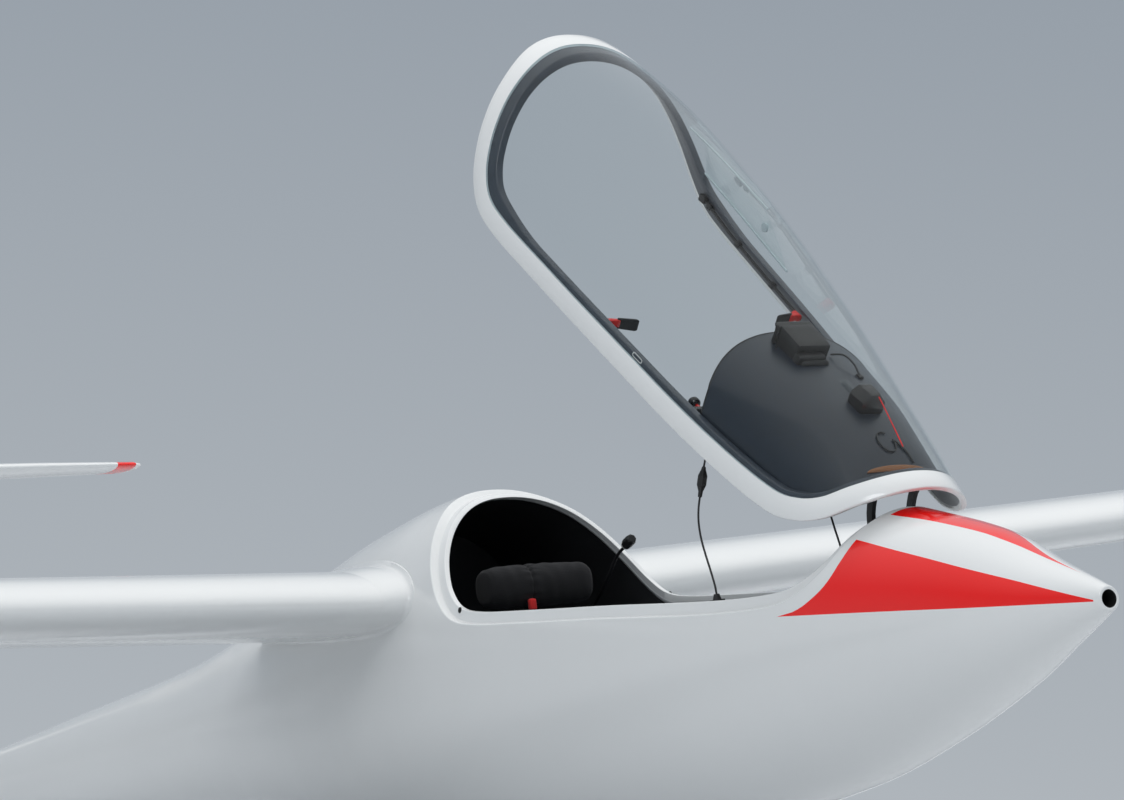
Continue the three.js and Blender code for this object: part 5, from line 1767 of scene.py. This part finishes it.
def harness_buckles(points):
    """The buckle with its red release bar, and the two strap adjusters."""
    half = STRAP_HALF
    made = Shape()
    top = over(points, 0, [LAP_RUN], 30)[0] + 3
    middle = seat_point(LAP_RUN, 0, top)
    normal = seat_point(LAP_RUN, 0, top + 1) - middle
    disc = [(-3, 0.1), (-3, 27), (-1, 29), (4, 29), (6.5, 27), (7, 22), (9, 20), (12, 19)]
    disc += [(13.5, 16), (13.5, 0.1)]
    made.lathe(disc, (0, 0, 0), "z", 48)
    made.box((-16, -3.2, 12), (16, 3.2, 18), 1.4, mark=1)
    place = Vector(normal).to_track_quat("Z", "Y").to_matrix().to_4x4()
    place.translation = Vector(middle)
    made.moved(place)
    for y in SHOULDER_STRAPS:
        run = 0.66 * seat_length
        rise = over(points, y, [run], half)[0] + 3.4
        frame_in = Shape().box((-15, -27, -1.6), (-9, 27, 2.4), 1.2).box((9, -27, -1.6), (15, 27, 2.4), 1.2)
        frame_in.box((-15, -27, -1.6), (15, -23.4, 2.4), 1.2).box((-15, 23.4, -1.6), (15, 27, 2.4), 1.2)
        middle = seat_point(run, y, rise)
        normal = seat_point(run, y, rise + 1) - middle
        ahead = seat_point(run + 1, y, rise) - middle
        side = np.cross(normal, ahead)
        place = Matrix(np.array([ahead, side, normal]).T.tolist()).to_4x4()
        place.translation = Vector(middle)
        frame_in.moved(place)
        made.add(np.vstack(frame_in.points), frame_in.faces, frame_in.marks)
    piece("harness_buckles", made, [steel, red_plastic], "airframe")


seat_pan()
seat_points = cushion("seat_pad", SEAT_PAD)
back_points = cushion("back_pad", BACK_PAD)
piping("seat_piping", seat_points, SEAT_PAD)
piping("back_piping", back_points, BACK_PAD)
headrest()
sewn_places = seat_place(np.vstack([seat_points, back_points]))
harness_straps(sewn_places)
harness_buckles(sewn_places)


# Cabin fittings
def aimed(place, direction):
    """Turn that points a form's own z axis along a direction, at a place."""
    made = Vector([float(v) for v in direction]).to_track_quat("Z", "Y").to_matrix().to_4x4()
    made.translation = Vector([float(v) for v in place])
    return made


def joined(shape, other, matrix):
    """Add a form, turned by a matrix, to another form."""
    other.moved(matrix)
    return shape.add(np.vstack(other.points), other.faces, other.marks)


def skin_normal(station, height, side, inset=0.0):
    """Outward direction of the skin's side."""
    step = 2.0
    here = float(body_side(station, height, inset))
    along_x = (float(body_side(station + step, height, inset)) - here) / step
    along_z = (float(body_side(station, height + step, inset)) - here) / step
    found = np.array([-along_x, side * 1.0, -along_z])
    return found / np.linalg.norm(found)


def pin_holes():
    """Bushed holes for the canopy's locating pins, in the rebate at both rear corners."""
    shape = Shape()
    ring = [(-0.4, 4.4), (0.9, 4.6), (1.5, 5.2), (1.3, 6.6), (-0.4, 7.2)]
    for side in (-1, 1):
        station, height, inset = 1942, 207, FLANGE[1]
        place = (station, side * float(body_side(station, height, inset)), height)
        turned = aimed(place, skin_normal(station, height, side, inset))
        joined(shape, Shape().lathe(ring, (0, 0, 0), "z", 28), turned)
        # a near-black disc across each hole is painted shade, standing for the hole's depth
        floor = [(0.3, 0.1), (0.3, 4.6), (-0.2, 4.6), (-0.2, 0.1)]
        joined(shape, Shape().lathe(floor, (0, 0, 0), "z", 28, 1), turned)
    piece("pin_bushes", shape, [matt, painted_hole_shade], "airframe")


def control_stick():
    lean = Matrix.Translation(Vector((1120, 0, -262))) @ Matrix.Rotation(0.12, 4, "Y")
    boot = [(-30, 0.1), (-30, 55)]
    for k in range(5):
        low = -26 + k * 11
        size = 52 - k * 7.2
        boot += [(low, size), (low + 2.5, size + 2.2), (low + 5.5, size + 2.0), (low + 8.5, size - 4.5)]
    boot += [(29, 17), (32, 14), (32, 0.1)]
    stem = [(20, 0.1), (20, 10.6), (194, 9.4), (194, 0.1)]
    grip = [(190, 0.1), (190, 13), (193, 15.5), (199, 15.5), (203, 13.6)]
    for k in range(4):
        low = 205 + k * 20
        grip += [(low, 13.8), (low + 5, 15.6), (low + 13, 15.8), (low + 18, 13.9)]
    grip += [(287, 14.5), (293, 16.2), (300, 15.8), (304, 13), (305, 8), (305, 0.1)]
    shape = Shape().lathe(boot, (0, 0, 0), "z", 56, 0).lathe(stem, (0, 0, 0), "z", 32, 1)
    shape.lathe(grip, (0, 0, 0), "z", 48, 1)
    shape.box((12, -5, 278), (17.6, 5, 290), 1.5, mark=2)
    shape.moved(lean)
    looks = [upholstery, matt, red_plastic]
    piece("stick", shape, looks, "airframe", "control_stick", sharp=60)


def microphone():
    route = [(2164, -196, 195), (2110, -192, 226), (2030, -176, 268), (1940, -150, 306), (1880, -136, 322)]
    line = even(spline(route, 400), 170)
    shape = Shape().tube(line, np.where(np.arange(170) % 2 == 0, 4.0, 3.4), 14)
    shape.lathe([(-3, 0.1), (-3, 13), (0, 14), (5, 14), (8, 8), (8, 0.1)], (2160, -195.6, 197.5), "x", 28)
    head = [(-31, 0.1), (-31, 8), (-29.5, 10.6), (-25, 12.6), (-14, 13), (6, 13), (13, 11.4), (17, 9.6)]
    head += [(23, 8.6), (28, 6.4), (31, 5), (31, 0.1)]
    made = Shape().lathe(head, (0, 0, 0), "x", 8)
    made.lathe([(12.5, 9.0), (12.5, 12.2), (15, 11.6), (15, 9.0)], (0, 0, 0), "x", 32, 1)
    turned = Matrix.Translation(Vector((1856, -130, 328)))
    turned = turned @ Matrix.Rotation(-0.2, 4, "Z") @ Matrix.Rotation(0.22, 4, "Y")
    joined(shape, made, turned)
    looks = [matt, white_marks]
    piece("gooseneck_microphone", shape, looks, "airframe", "microphone", sharp=30)


def bulkhead():
    """Moulded panel behind the seat, stiffened by a raised frame and two ribs."""
    start, height, top = 2165, SHELF[1] + FIT, 205
    wall = CABIN_WALL + 3
    levels = np.linspace(height, top, 30)

    def half(level):
        return float(body_side(start, level, wall))

    def rows(station, inset):
        share = np.linspace(-1, 1, 50)
        return np.array([[(station, k * (half(level) - inset), level) for k in share] for level in levels])

    shape = Shape().sheet(rows(start, 0), rows(start + 8, 0))
    rail = [(start - 3, k * (half(top - 8) - 10), top - 8) for k in np.linspace(-1, 1, 40)]
    shape.tube(rail, 5, 12)
    for side in (-1, 1):
        shape.box((start - 4, side * 120 - 9, height + 6), (start + 2, side * 120 + 9, top - 14), 2.5)
        shape.box((start - 2, side * 62 - 26, 188), (start + 1, side * 62 + 26, 196), 0.9, mark=1)
    piece("seat_bulkhead", shape, [slate, matt], "airframe", "rear_bulkhead", sharp=45)


def side_controls():
    """Levers on the port side, and the side linings that they come through."""
    wall = CABIN_WALL + 1.5
    for name, side in (("left", -1), ("right", 1)):
        shape = Shape()
        station = np.linspace(1240, 1960, 60)
        low, high = np.full(60, -8.0), np.interp(station, [1240, 1500, 1960], [86, 104, 150])
        outer, inner = [], []
        for t in np.linspace(0, 1, 12):
            height = low + (high - low) * t
            step = 5 + 3 * math.sin(math.pi * t)
            outer.append(np.stack([station, side * (body_side(station, height, wall) - 0.5), height], axis=1))
            inner.append(np.stack([station, side * (body_side(station, height, wall) - step), height], axis=1))
        shape.sheet(outer, inner)
        piece("side_lining_" + name, shape, slate, "airframe", sharp=50)
    levers = Shape()
    for station, height, mark, length in ((1390, 28, 0, 64), (1500, 48, 1, 56), (1590, 16, 1, 34)):
        place = float(body_side(station, height, wall)) - 6
        levers.tube([(station, -place, height), (station, -place + 26, height + 4)], 5, 14, mark=2)
        grip = [(0, 0.1), (0, 7), (3, 8.6), (length - 8, 9.4), (length - 2, 8), (length, 4), (length, 0.1)]
        turned = aimed((station, -place + 24, height - 4), (-0.25, 0.1, 1))
        joined(levers, Shape().lathe(grip, (0, 0, 0), "z", 28, mark), turned)
    piece("side_levers", levers, [blue_plastic, matt, steel], "airframe")
    release = float(body_side(960, 60, wall)) - 8
    knob = [(0, 0.1), (0, 3), (20, 3), (22, 9), (27, 12), (34, 12), (38, 8), (38, 0.1)]
    made = joined(Shape(), Shape().lathe(knob, (0, 0, 0), "z", 32), aimed((960, -release, 60), (0.6, 1, 0)))
    piece("tow_release", made, yellow_plastic, "airframe")


pin_holes()
control_stick()
microphone()
bulkhead()
side_controls()


# Canopy fittings
LATCH = [(1452, 175), (1600, 187), (1780, 205), (1925, 232)]
LATCH_ROD = 4
GUIDE_PLATE = (1285, 57.5)
LATCH_DEPTH = 22 + 4 * FIT
DISPLAY = (1090, 6, 305)
COMPASS = (862, -18, 292)


def cowl_top(station, y, above=0.0):
    """Height of the instrument cover's upper face."""
    base, top = cowl_line(station)
    half = float(body_side(station, base, COWL_INSET))
    share = min(1.0, abs(y) / half)
    return base + (top - base) * (1 - share**COWL_POWER) ** (1 / COWL_POWER) + above


def latch(side, name):
    def place(station, height, out):
        return (station, side * (float(body_side(station, height, LATCH_DEPTH + out))), height)

    line = spline([place(s, h, LATCH_ROD) for s, h in LATCH], 80)
    shape = Shape().tube(line, LATCH_ROD, 16)
    for share in (0.30, 0.62, 0.90):
        x, y, z = line[int(share * 79)]
        shape.box((x - 9, y - 6.5, z - 6.5), (x + 9, y + 6.5, z + 6.5), 2.2)
    x, y, z = line[-1]
    shape.box((x - 14, y - 9, z - 9), (x + 10, y + 9, z + 9), 3)
    x, y, z = place(*LATCH[0], 10)
    collar = [(-13, 0.1), (-13, 7), (-11, 9), (-6, 9), (-5, 7.8), (-2, 7.8), (-1, 9), (9, 9)]
    collar += [(11, 7), (11, 0.1)]
    shape.lathe(collar, (x, y, z), "x", 28, mark=1)
    bracket = ((-4, 6, 6), (8, 6, 8), (20, 5.4, 9), (27, 4.6, 9), (28, 3.6, 8))
    paddle = ((22, 1.6, 9), (24, 3.0, 12.5), (62, 3.4, 14), (67, 3.0, 12.8), (69, 1.6, 11.2))
    angle = np.linspace(0, 2 * math.pi, 32, endpoint=False)
    for mark, outline in ((1, bracket), (0, paddle)):
        rings = []
        for run, deep, half in outline:
            across, up = deep * rounded(np.cos(angle), 4), half * rounded(np.sin(angle), 6)
            aft = x - 6 - 0.28 * run + across
            rings.append(np.stack([aft, np.full(32, y - side * run), z + 2 + up], axis=1))
        shape.loft(rings, mark=mark)
    looks = [matt, red_plastic]
    piece("latch_" + name, shape, looks, "canopy", "canopy_latch_" + name, sharp=50)


def guide_plate(side, name):
    """Slotted plate on the rail ahead of the latch's handle."""
    plate = Shape()
    frame_line = []
    for angle in np.linspace(0, 2 * math.pi, 48, endpoint=False):
        u, v = rounded(math.cos(angle), 5), rounded(math.sin(angle), 5)
        station = GUIDE_PLATE[0] + 17 * u
        height = float(edge_height([station], GUIDE_PLATE[1])[0]) + 4 * v
        y = side * float(body_side(station, height, GLASS + 1.6 * FIT))
        frame_line.append((station, y, height))
    loop = np.array(frame_line)
    rings = []
    for k in range(len(loop)):
        ahead = loop[(k + 1) % len(loop)] - loop[k - 1]
        ahead = ahead / np.linalg.norm(ahead)
        out = np.cross(ahead, (0, 1, 0))
        out /= np.linalg.norm(out)
        angle = np.linspace(0, 2 * math.pi, 8, endpoint=False)
        flat = np.array((0, 0.16, 0))
        rings.append([loop[k] + 1.1 * math.cos(a) * out + math.sin(a) * flat for a in angle])
    plate.grid(rings, wrap=True, close=True)
    piece("guide_plate_" + name, plate, white_marks, "canopy")


def release_knob():
    station, height = 1106, 146
    inside = float(body_side(station, height, LINING_DEPTH))
    y = inside - 36
    shape = Shape().box((station - 9, y - 8, height - 8), (station + 6, inside + 2, height + 8), 2.5, mark=0)
    stem = [(2, 0.1), (2, 6.4), (6, 6.4), (7, 4.8), (24, 4.2), (24, 0.1)]
    shape.lathe(stem, (station, y, height), "x", 28, mark=1)
    ball = [(21, 0.1), (21, 6), (22.5, 9.5), (26, 12.4), (31, 13.4), (37, 13), (42, 9.6)]
    ball += [(44.6, 4.6), (45, 0.1)]
    shape.lathe(ball, (station, y, height), "x", 40, mark=0)
    piece("jettison_knob", shape, [gloss, red_plastic], "canopy", "release_knob", sharp=50)


def dial(shape, y, height, radius, needle):
    face = 1073.4
    bezel = [(1066, radius - 4), (1066, radius + 1.5), (1074, radius + 1.5), (1076, radius), (1076, radius - 3)]
    bezel += [(1074.4, radius - 4)]
    shape.lathe(bezel, (0, y, height), "x", 56, mark=1)
    disc = [(face - 1, 0.1), (face - 1, radius - 2), (face, radius - 2), (face, 0.1)]
    shape.lathe(disc, (0, y, height), "x", 56, mark=0)
    for k in range(24):
        angle = math.radians(k * 15)
        long_mark = k % 3 == 0
        start = radius * (0.68 if long_mark else 0.76)
        half = 0.7 if long_mark else 0.4
        tick = Shape().box((face, start, -half), (face + 0.5, radius * 0.87, half))
        turned = Matrix.Translation(Vector((0, y, height))) @ Matrix.Rotation(angle, 4, "X")
        tick.marks = [2] * len(tick.faces)
        joined(shape, tick, turned)
    hand = Shape().box((face + 0.8, -radius * 0.16, -0.8), (face + 1.4, radius * 0.66, 0.8))
    hand.marks = [2] * len(hand.faces)
    turned = Matrix.Translation(Vector((0, y, height))) @ Matrix.Rotation(math.radians(needle), 4, "X")
    joined(shape, hand, turned)
    shape.lathe([(face, 0.1), (face, 3.4), (face + 1.8, 3), (face + 1.8, 0.1)], (0, y, height), "x", 20, mark=1)


def panel_face():
    shape = Shape()
    dials = [(-52, 218, 40, 140), (52, 218, 40, 60), (-130, 196, 29, 200), (130, 196, 29, 20)]
    for y, height, radius, needle in dials:
        dial(shape, y, height, radius, needle)
    for y, height in ((-52, 164), (0, 172), (52, 164)):
        knob = [(1066, 0.1), (1066, 8), (1068, 9), (1078, 8.2), (1080, 6.5), (1080, 0.1)]
        shape.lathe(knob, (0, y, height), "x", 24, mark=1)
    piece("panel_dials", shape, [screen, gloss, white_marks], "canopy", sharp=40)


def housing(shape, low, high, round_by, matrix, inset, mark=0):
    """Block with rounded edges, pressed under the glass where it would reach it."""
    made = bmesh.new()
    bmesh.ops.create_cube(made, size=1)
    low, high = Vector(low), Vector(high)
    for vert in made.verts:
        vert.co = Vector([low[k] + (vert.co[k] + 0.5) * (high[k] - low[k]) for k in range(3)])
    bmesh.ops.subdivide_edges(made, edges=made.edges[:], cuts=7, use_grid_fill=True)
    made.normal_update()
    middle, half = (low + high) / 2, (high - low) / 2
    for vert in made.verts:
        away = vert.co - middle
        core = Vector([max(-(half[k] - round_by), min(half[k] - round_by, away[k])) for k in range(3)])
        out = away - core
        if out.length > 0:
            vert.co = middle + core + out.normalized() * round_by
        vert.co = matrix @ vert.co
        limit = float(body_top(vert.co.x, vert.co.y, inset))
        vert.co.z = min(vert.co.z, limit)
    made.verts.index_update()
    points = [tuple(v.co) for v in made.verts]
    faces = [[v.index for v in f.verts] for f in made.faces]
    made.free()
    return shape.add(points, faces, mark)


def flight_display():
    turned = Matrix.Translation(Vector(DISPLAY)) @ Matrix.Rotation(-0.1, 4, "Y")
    shape = housing(Shape(), (-46, -42, -30), (36, 42, 29), 7, turned, GLASS + 8.5)
    housing(shape, (30, -44, 18), (52, 44, 25), 3, turned, GLASS + 8.5)
    for side in (-1, 1):
        housing(shape, (30, side * 42 - 2.5, -24), (44, side * 42 + 2.5, 20), 2, turned, GLASS + 8.5)
    # dark block under the unit, sunk into the cover
    dark_block_below = Shape()
    housing(dark_block_below, (-72, -34, -34), (-30, 36, 4), 9, turned, GLASS + 8.5)
    housing(dark_block_below, (-64, -26, -34), (-40, 44, 12), 6, turned, GLASS + 8.5)
    shape.add(dark_block_below.points, dark_block_below.faces)
    face = Shape().box((36, -36, -22), (37.4, 36, 16), 0.6)
    face.marks = [1] * len(face.faces)
    joined(shape, face, turned)
    for k, y in enumerate((-24, -8, 8, 24)):
        button = Shape().lathe([(36, 0.1), (36, 3.4), (39, 3), (39, 0.1)], (0, y, -26), "x", 16)
        joined(shape, button, turned)
    # two short aerials and the lead that runs forward over the cover
    x, y, z = DISPLAY
    for dx, dy, high in ((30, 34, 30), (12, 38, 22)):
        base = cowl_top(x + dx, y + dy + 12, 0) - 2
        top = min(base + 16 + high, float(body_top(x + dx, y + dy + 16, GLASS + 3)))
        foot = (x + dx, y + dy + 14, base)
        middle = (x + dx + 2, y + dy + 15, (base + top) / 2)
        shape.tube([foot, middle, (x + dx + 3, y + dy + 16, top)], 1.9, 10)
    arc = [(1062, -56, 4), (1040, -72, 17), (1010, -80, 15), (985, -82, 4)]
    arc = [(s, v, cowl_top(s, v, up)) for s, v, up in arc]
    shape.tube(spline(arc, 40), 2.0, 10)
    shape.box((974, -88, cowl_top(980, -82) - 3), (990, -76, cowl_top(980, -82) + 5), 2)
    piece("display_unit", shape, [matt, screen], "canopy", "flight_display", sharp=40)


def compass():
    x, y, z = COMPASS
    drum = [(-26, 0.1), (-26, 27), (-24, 30.5), (-19, 32.5), (14, 36), (20, 35), (25, 31.5), (26, 29), (26, 25)]
    drum += [(22.5, 24), (22.5, 0.1)]
    shape = Shape().lathe(drum, (x, y, z), "x", 8)
    shape.moved(about((x, y, z), 22.5, "X"))
    limit = float(body_top(x, y, GLASS + 4.5))
    shape.points = [np.minimum(p, (1e9, 1e9, limit)) for p in shape.points]
    shape.lathe([(22.6, 0.1), (22.6, 23), (24.4, 18), (25, 0.1)], (x, y, z), "x", 40, mark=1)
    low = min(cowl_top(x - 20, y), cowl_top(x + 20, y)) - 1
    foot = [(low - z, 0.1), (low - z, 26), (low - z + 3, 25), (-26, 15), (-22, 14), (-22, 0.1)]
    shape.lathe(foot, (x, y, z), "z", 32)
    piece("compass_unit", shape, [gloss, screen], "canopy", "compass", sharp=32)

    strip_line = [(s, y, cowl_top(s, y, 3.2)) for s in np.linspace(x + 18, x + 92, 20)]
    clip = strap(Shape(), strip_line, np.tile([0.0, 1, 0], (20, 1)), 11, 2.4)
    piece("compass_clip", clip, window_clear, "canopy")
    loop = []
    for angle in np.linspace(-0.5, 1.62 * math.pi, 60):
        s, v = 752 + 26 * math.cos(angle), -6 + 19 * math.sin(angle)
        loop.append((s, v, cowl_top(s, v, 2.6)))
    tail = [(s, v, cowl_top(s, v, 2.4)) for s, v in ((744, -34), (724, -44), (700, -48))]
    tie = Shape().tube(spline(loop[::3] + tail, 160), 1.7, 10)
    piece("cover_tie", tie, matt, "canopy")


def amber_strip():
    """Tinted deflector along the front edge of the instrument cover."""
    rows = []
    for t in np.linspace(-1, 1, 60):
        y = 74 * t
        wide = 13 * (1 - t * t) ** 0.5 + 0.6
        start = 682 + 5 * t * t
        ring = []
        for angle in np.linspace(0, 2 * math.pi, 14, endpoint=False):
            s = start + wide * (0.5 + 0.5 * math.cos(angle))
            ring.append((s, y, cowl_top(s, y, 1.4 + 1.2 * math.sin(angle))))
        rows.append(ring)
    piece("front_deflector", Shape().loft(rows), amber, "canopy")


for which, label in ((-1, "left"), (1, "right")):
    latch(which, label)
    guide_plate(which, label)
release_knob()
panel_face()
flight_display()
compass()
amber_strip()


# Wheels, gear and the other hard parts
def tyre(name, stands_for, body, place, radius, width, rim, ribs):
    """Tyre with a bead line, a sidewall step and grooves round its tread."""
    half, high = width / 2, radius - rim
    sides = [(0.60, 0.0), (0.67, 0.015), (0.80, 0.06), (0.91, 0.14), (0.97, 0.25), (1.0, 0.36), (0.985, 0.44)]
    sides += [(0.955, 0.455), (0.95, 0.47), (0.965, 0.49), (0.94, 0.60), (0.87, 0.73)]
    sides += [(0.77, 0.82), (0.64, 0.875)]
    left = [(-a * half, rim + b * high) for a, b in sides]
    edge, deep, drop = 1.9, 0.045 * high + 1.2, 0.12 * high

    def crown(y):
        return radius - drop * (abs(y) / (0.62 * half)) ** 2

    tread = []
    for k in range(ribs):
        y = half * 0.5 * (2 * k / (ribs - 1) - 1)
        for away, down in ((-1.8, 0), (-1.0, 0.5), (-0.65, deep), (0.65, deep), (1.0, 0.5), (1.8, 0)):
            at = y + away * edge
            tread.append((at, crown(at) - down))
    right = [(-y, r) for y, r in left[::-1]]
    shape = Shape().lathe(left + tread + right, place, "y", 144)
    piece(name, shape, tyre_rubber, body, stands_for, 30, 0.005)


def hub_bolts(name, body, place, rim, width, count):
    """Bolt heads and a rim lip on both faces of a hub, and the tyre's valve."""
    shape = Shape()
    bore = AXLE_RADIUS + 0.6
    ring = (bore + 18 + rim - 16) / 2
    level = 0.34 * width / 2
    for side in (-1, 1):
        for k in range(count):
            angle = 2 * math.pi * (k + 0.5) / count
            bolt = Shape().lathe([(-3, 0.1), (-3, 4.4), (3.0, 4.4), (4.0, 3.6), (4.0, 0.1)], (0, 0, 0), "z", 6)
            centre = Vector(place) + Vector((ring * math.cos(angle), side * level, ring * math.sin(angle)))
            joined(shape, bolt, aimed(centre, (0, side, 0)))
        lip = [(side * width * 0.46, rim - 5), (side * width * 0.485, rim - 3), (side * width * 0.485, rim - 0.6)]
        lip.append((side * width * 0.44, rim - 0.6))
        shape.lathe(lip, place, "y", 72)
    valve = ((rim - 17, 0, 0), (rim - 19, width * 0.3, 0), (rim - 22, width * 0.42, 0))
    valve = [Vector(place) + Vector(p) for p in valve]
    shape.tube(valve, 2.4, 12)
    piece(name, shape, bright_steel, body, sharp=40)


def airbrake(side, name):
    """Blade with lightening slots and the cap that closes its slit in the wing."""
    middle, share = BRAKE["span"], BRAKE["share"]
    lead, chord, thickness, height = section(WING, middle)
    upper = float(section_heights(share, thickness)[0])
    tilt = math.atan2(WING[1][4] - WING[0][4], WING[1][0] - WING[0][0])
    place = Matrix.Translation(Vector((lead + share * chord, side * middle, height + chord * upper)))
    place = place @ Matrix.Rotation(side * tilt, 4, "X")
    end, blade, cap = BRAKE["length"] / 2, BRAKE["blade"] / 2, BRAKE["cap"] / 2
    shape = Shape().box((-cap, -end, -8), (cap, end, -2), 1.0)
    count = 9
    pitch = 2 * end / count
    shape.box((-blade, -end, -24), (blade, end, -7), 0.4, mark=1)
    shape.box((-blade, -end, -BRAKE["depth"]), (blade, end, -BRAKE["depth"] + 12), 0.8, mark=1)
    for k in range(count + 1):
        y = -end + k * pitch
        low, high = max(-end, y - 16), min(end, y + 16)
        shape.box((-blade + 0.1, low, -BRAKE["depth"] + 11), (blade - 0.1, high, -23), 0.3, mark=1)
    shape.moved(place)
    body = "airbrake_" + name
    piece("brake_blade_" + name, shape, [skin, aluminium], body, body)


def arm_rest(side, name):
    """Ledge beside the seat with a soft rounded inner edge."""
    wall = CABIN_WALL + 3
    station = 1270 + 630 * (0.5 - 0.5 * np.cos(np.linspace(0, math.pi, 60)))
    profile = [(0, -40), (-6, -38.5), (-8, -34), (-8, -21), (-5.5, -16), (0, -14)]
    rows = []
    for s in station:
        pull = 22 * (1 - min(1.0, (s - 1270) / 60, (1900 - s) / 60)) ** 2
        limit = [float(body_side(s, z, wall)) for z in (-14, -40)]
        row = [(s, min(204 + pull + a, limit[0] - 4), z) for a, z in profile]
        row += [(s, min(320, limit[0]), -14), (s, min(320, limit[1]), -40)]
        rows.append(row)
    rows = np.array(rows) * (1, side, 1)
    shape = Shape().loft(rows)
    piece("side_ledge_" + name, shape, slate, "airframe", "arm_rest_" + name, sharp=40)


def pedals():
    """Rudder pedals with ribbed treads and heel rests on their cross tube."""
    reach = float(body_side(760, -205, CABIN_WALL + 12))
    shape = Shape().tube([(760, -reach, -205), (760, reach, -205)], 9, 24, mark=1)
    lean = Matrix.Translation(Vector((760, 0, -205))) @ Matrix.Rotation(0.35, 4, "Y")
    for side in (-1, 1):
        y = side * 70
        tread = Shape().box((-5, y - 45, 12), (3, y + 45, 128), 3)
        tread.box((-6, y - 13, -28), (4, y + 13, 24), 2.5)
        for k in range(6):
            z = 30 + k * 17
            tread.box((2, y - 38, z), (6, y + 38, z + 6), 1.4)
        for edge in (-45, 45):
            tread.box((-4, y + edge - 3, 20), (18, y + edge + 3, 120), 2)
        tread.box((2, y - 30, -28), (34, y + 30, -22), 2)
        joined(shape, tread, lean)
        collar = [(-16, 9), (-16, 13), (-14, 14.5), (14, 14.5), (16, 13), (16, 9)]
        shape.lathe(collar, (760, y, -205), "y", 32, 1)
    piece("pedal_set", shape, [aluminium, steel], "airframe", "rudder_pedals", sharp=40)


def carried(name, material, bevel, angle=30):
    """A hard CAD part that stays as it is, with its edges rounded and its own finish."""
    part = frame["nodes"][name]
    part.data.materials.clear()
    part.data.materials.append(material)
    if part.data.has_custom_normals:
        part.data.attributes.remove(part.data.attributes["custom_normal"])
    weld = part.modifiers.new("weld", "WELD")
    weld.merge_threshold = 0.00002
    rounding = part.modifiers.new("edges", "BEVEL")
    rounding.width = bevel / 1000
    rounding.segments = 2
    rounding.limit_method = "ANGLE"
    rounding.angle_limit = math.radians(angle)
    rounding.use_clamp_overlap = True
    rounding.harden_normals = False


for which, label in ((-1, "left"), (1, "right")):
    airbrake(which, label)
    arm_rest(which, label)
    carried("tip_skid_" + label, matt, 3.0)
    carried("gear_door_" + label, skin, 1.6)
    carried("hinge_arm_" + label, matt, 1.4)
pedals()
tyre("main_tyre_tread", "main_tyre", "main_wheel", MAIN_AXLE, 178, 124, 82, 5)
tyre("tail_tyre_tread", "tail_tyre", "tail_wheel", TAIL_AXLE, 95, 56, 46, 3)
hub_bolts("main_hub_bolts", "main_wheel", MAIN_AXLE, 82, 104, 8)
hub_bolts("tail_hub_bolts", "tail_wheel", TAIL_AXLE, 46, 50, 5)
for label in ("main_hub", "tail_hub"):
    carried(label, aluminium, 1.0, 25)
for label in ("gear_frame", "main_axle", "hinge_bracket", "tow_hook"):
    carried(label, steel, 1.5)
for label in ("cable_connector", "cable_socket", "cable_block", "instrument_panel"):
    carried(label, matt, 0.8)
carried("tail_wheel_mount", skin, 6.0)


# Light and floor
FLOOR = 260.0


def lay_floor():
    floor_mesh = bpy.data.meshes.new("floor")
    steps = np.sign(np.linspace(-1, 1, 25)) * np.abs(np.linspace(-1, 1, 25)) ** 2.5 * FLOOR
    rows = [[(x, y, 0) for y in steps] for x in steps]
    floor_mesh.from_pydata(np.array(rows, float).reshape(-1, 3).tolist(), [], grid_faces(25, 25))
    floor_mesh.materials.append(floor_paint)
    floor = placed("floor", floor_mesh)


def backdrop():
    """Pale surroundings, darker towards the horizon."""
    world = bpy.data.worlds.new("studio")
    world.use_nodes = True
    tree = world.node_tree
    tree.nodes.clear()
    around = node(tree, "ShaderNodeTexCoord").outputs["Generated"]
    height = node(tree, "ShaderNodeSeparateXYZ", {"Vector": around})
    ramp = node(tree, "ShaderNodeValToRGB", {"Fac": height.outputs["Z"]})
    marks = ramp.color_ramp.elements
    marks[0].position, marks[0].color = 0.0, (0.50, 0.54, 0.58, 1)
    marks[1].position, marks[1].color = 1.0, (1.05, 1.05, 1.05, 1)
    middle = marks.new(0.30)
    middle.color = (0.31, 0.36, 0.42, 1)
    high = marks.new(0.55)
    high.color = (0.62, 0.66, 0.70, 1)
    back = node(tree, "ShaderNodeBackground", {"Color": ramp.outputs[0], "Strength": 0.86})
    output = node(tree, "ShaderNodeOutputWorld")
    tree.links.new(back.outputs[0], output.inputs[0])
    bpy.context.scene.world = world
    bpy.context.scene.view_settings.view_transform = "Standard"


def lamps():
    """Area lights: size, strength, place and aim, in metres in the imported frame's axes."""
    lights = [
        ("overhead", 8.0, 290, (0.5, 1.0, 8.5), (0.8, 0, 0.8)),
        ("key", 5.0, 240, (9.0, -6.5, 7.0), (1.8, 0, 0.9)),
        ("rim", 6.0, 150, (-4.0, 7.5, 5.0), (1.0, 0, 1.2)),
    ]
    for name, size, power, place, aim in lights:
        data = bpy.data.lights.new(name, "AREA")
        data.shape = "DISK"
        data.size = size
        data.energy = power
        lamp = placed(name, data)
        lamp.location = place
        lamp.visible_glossy = name == "key"
        lamp.rotation_euler = (Vector(aim) - Vector(place)).to_track_quat("-Z", "Y").to_euler()


floor_paint = plain("floor_paint", (0.60, 0.62, 0.64), 0.75, mottle=0.6, vary=0.03, grain=40.0, depth=0.0002)
lay_floor()
backdrop()
lamps()
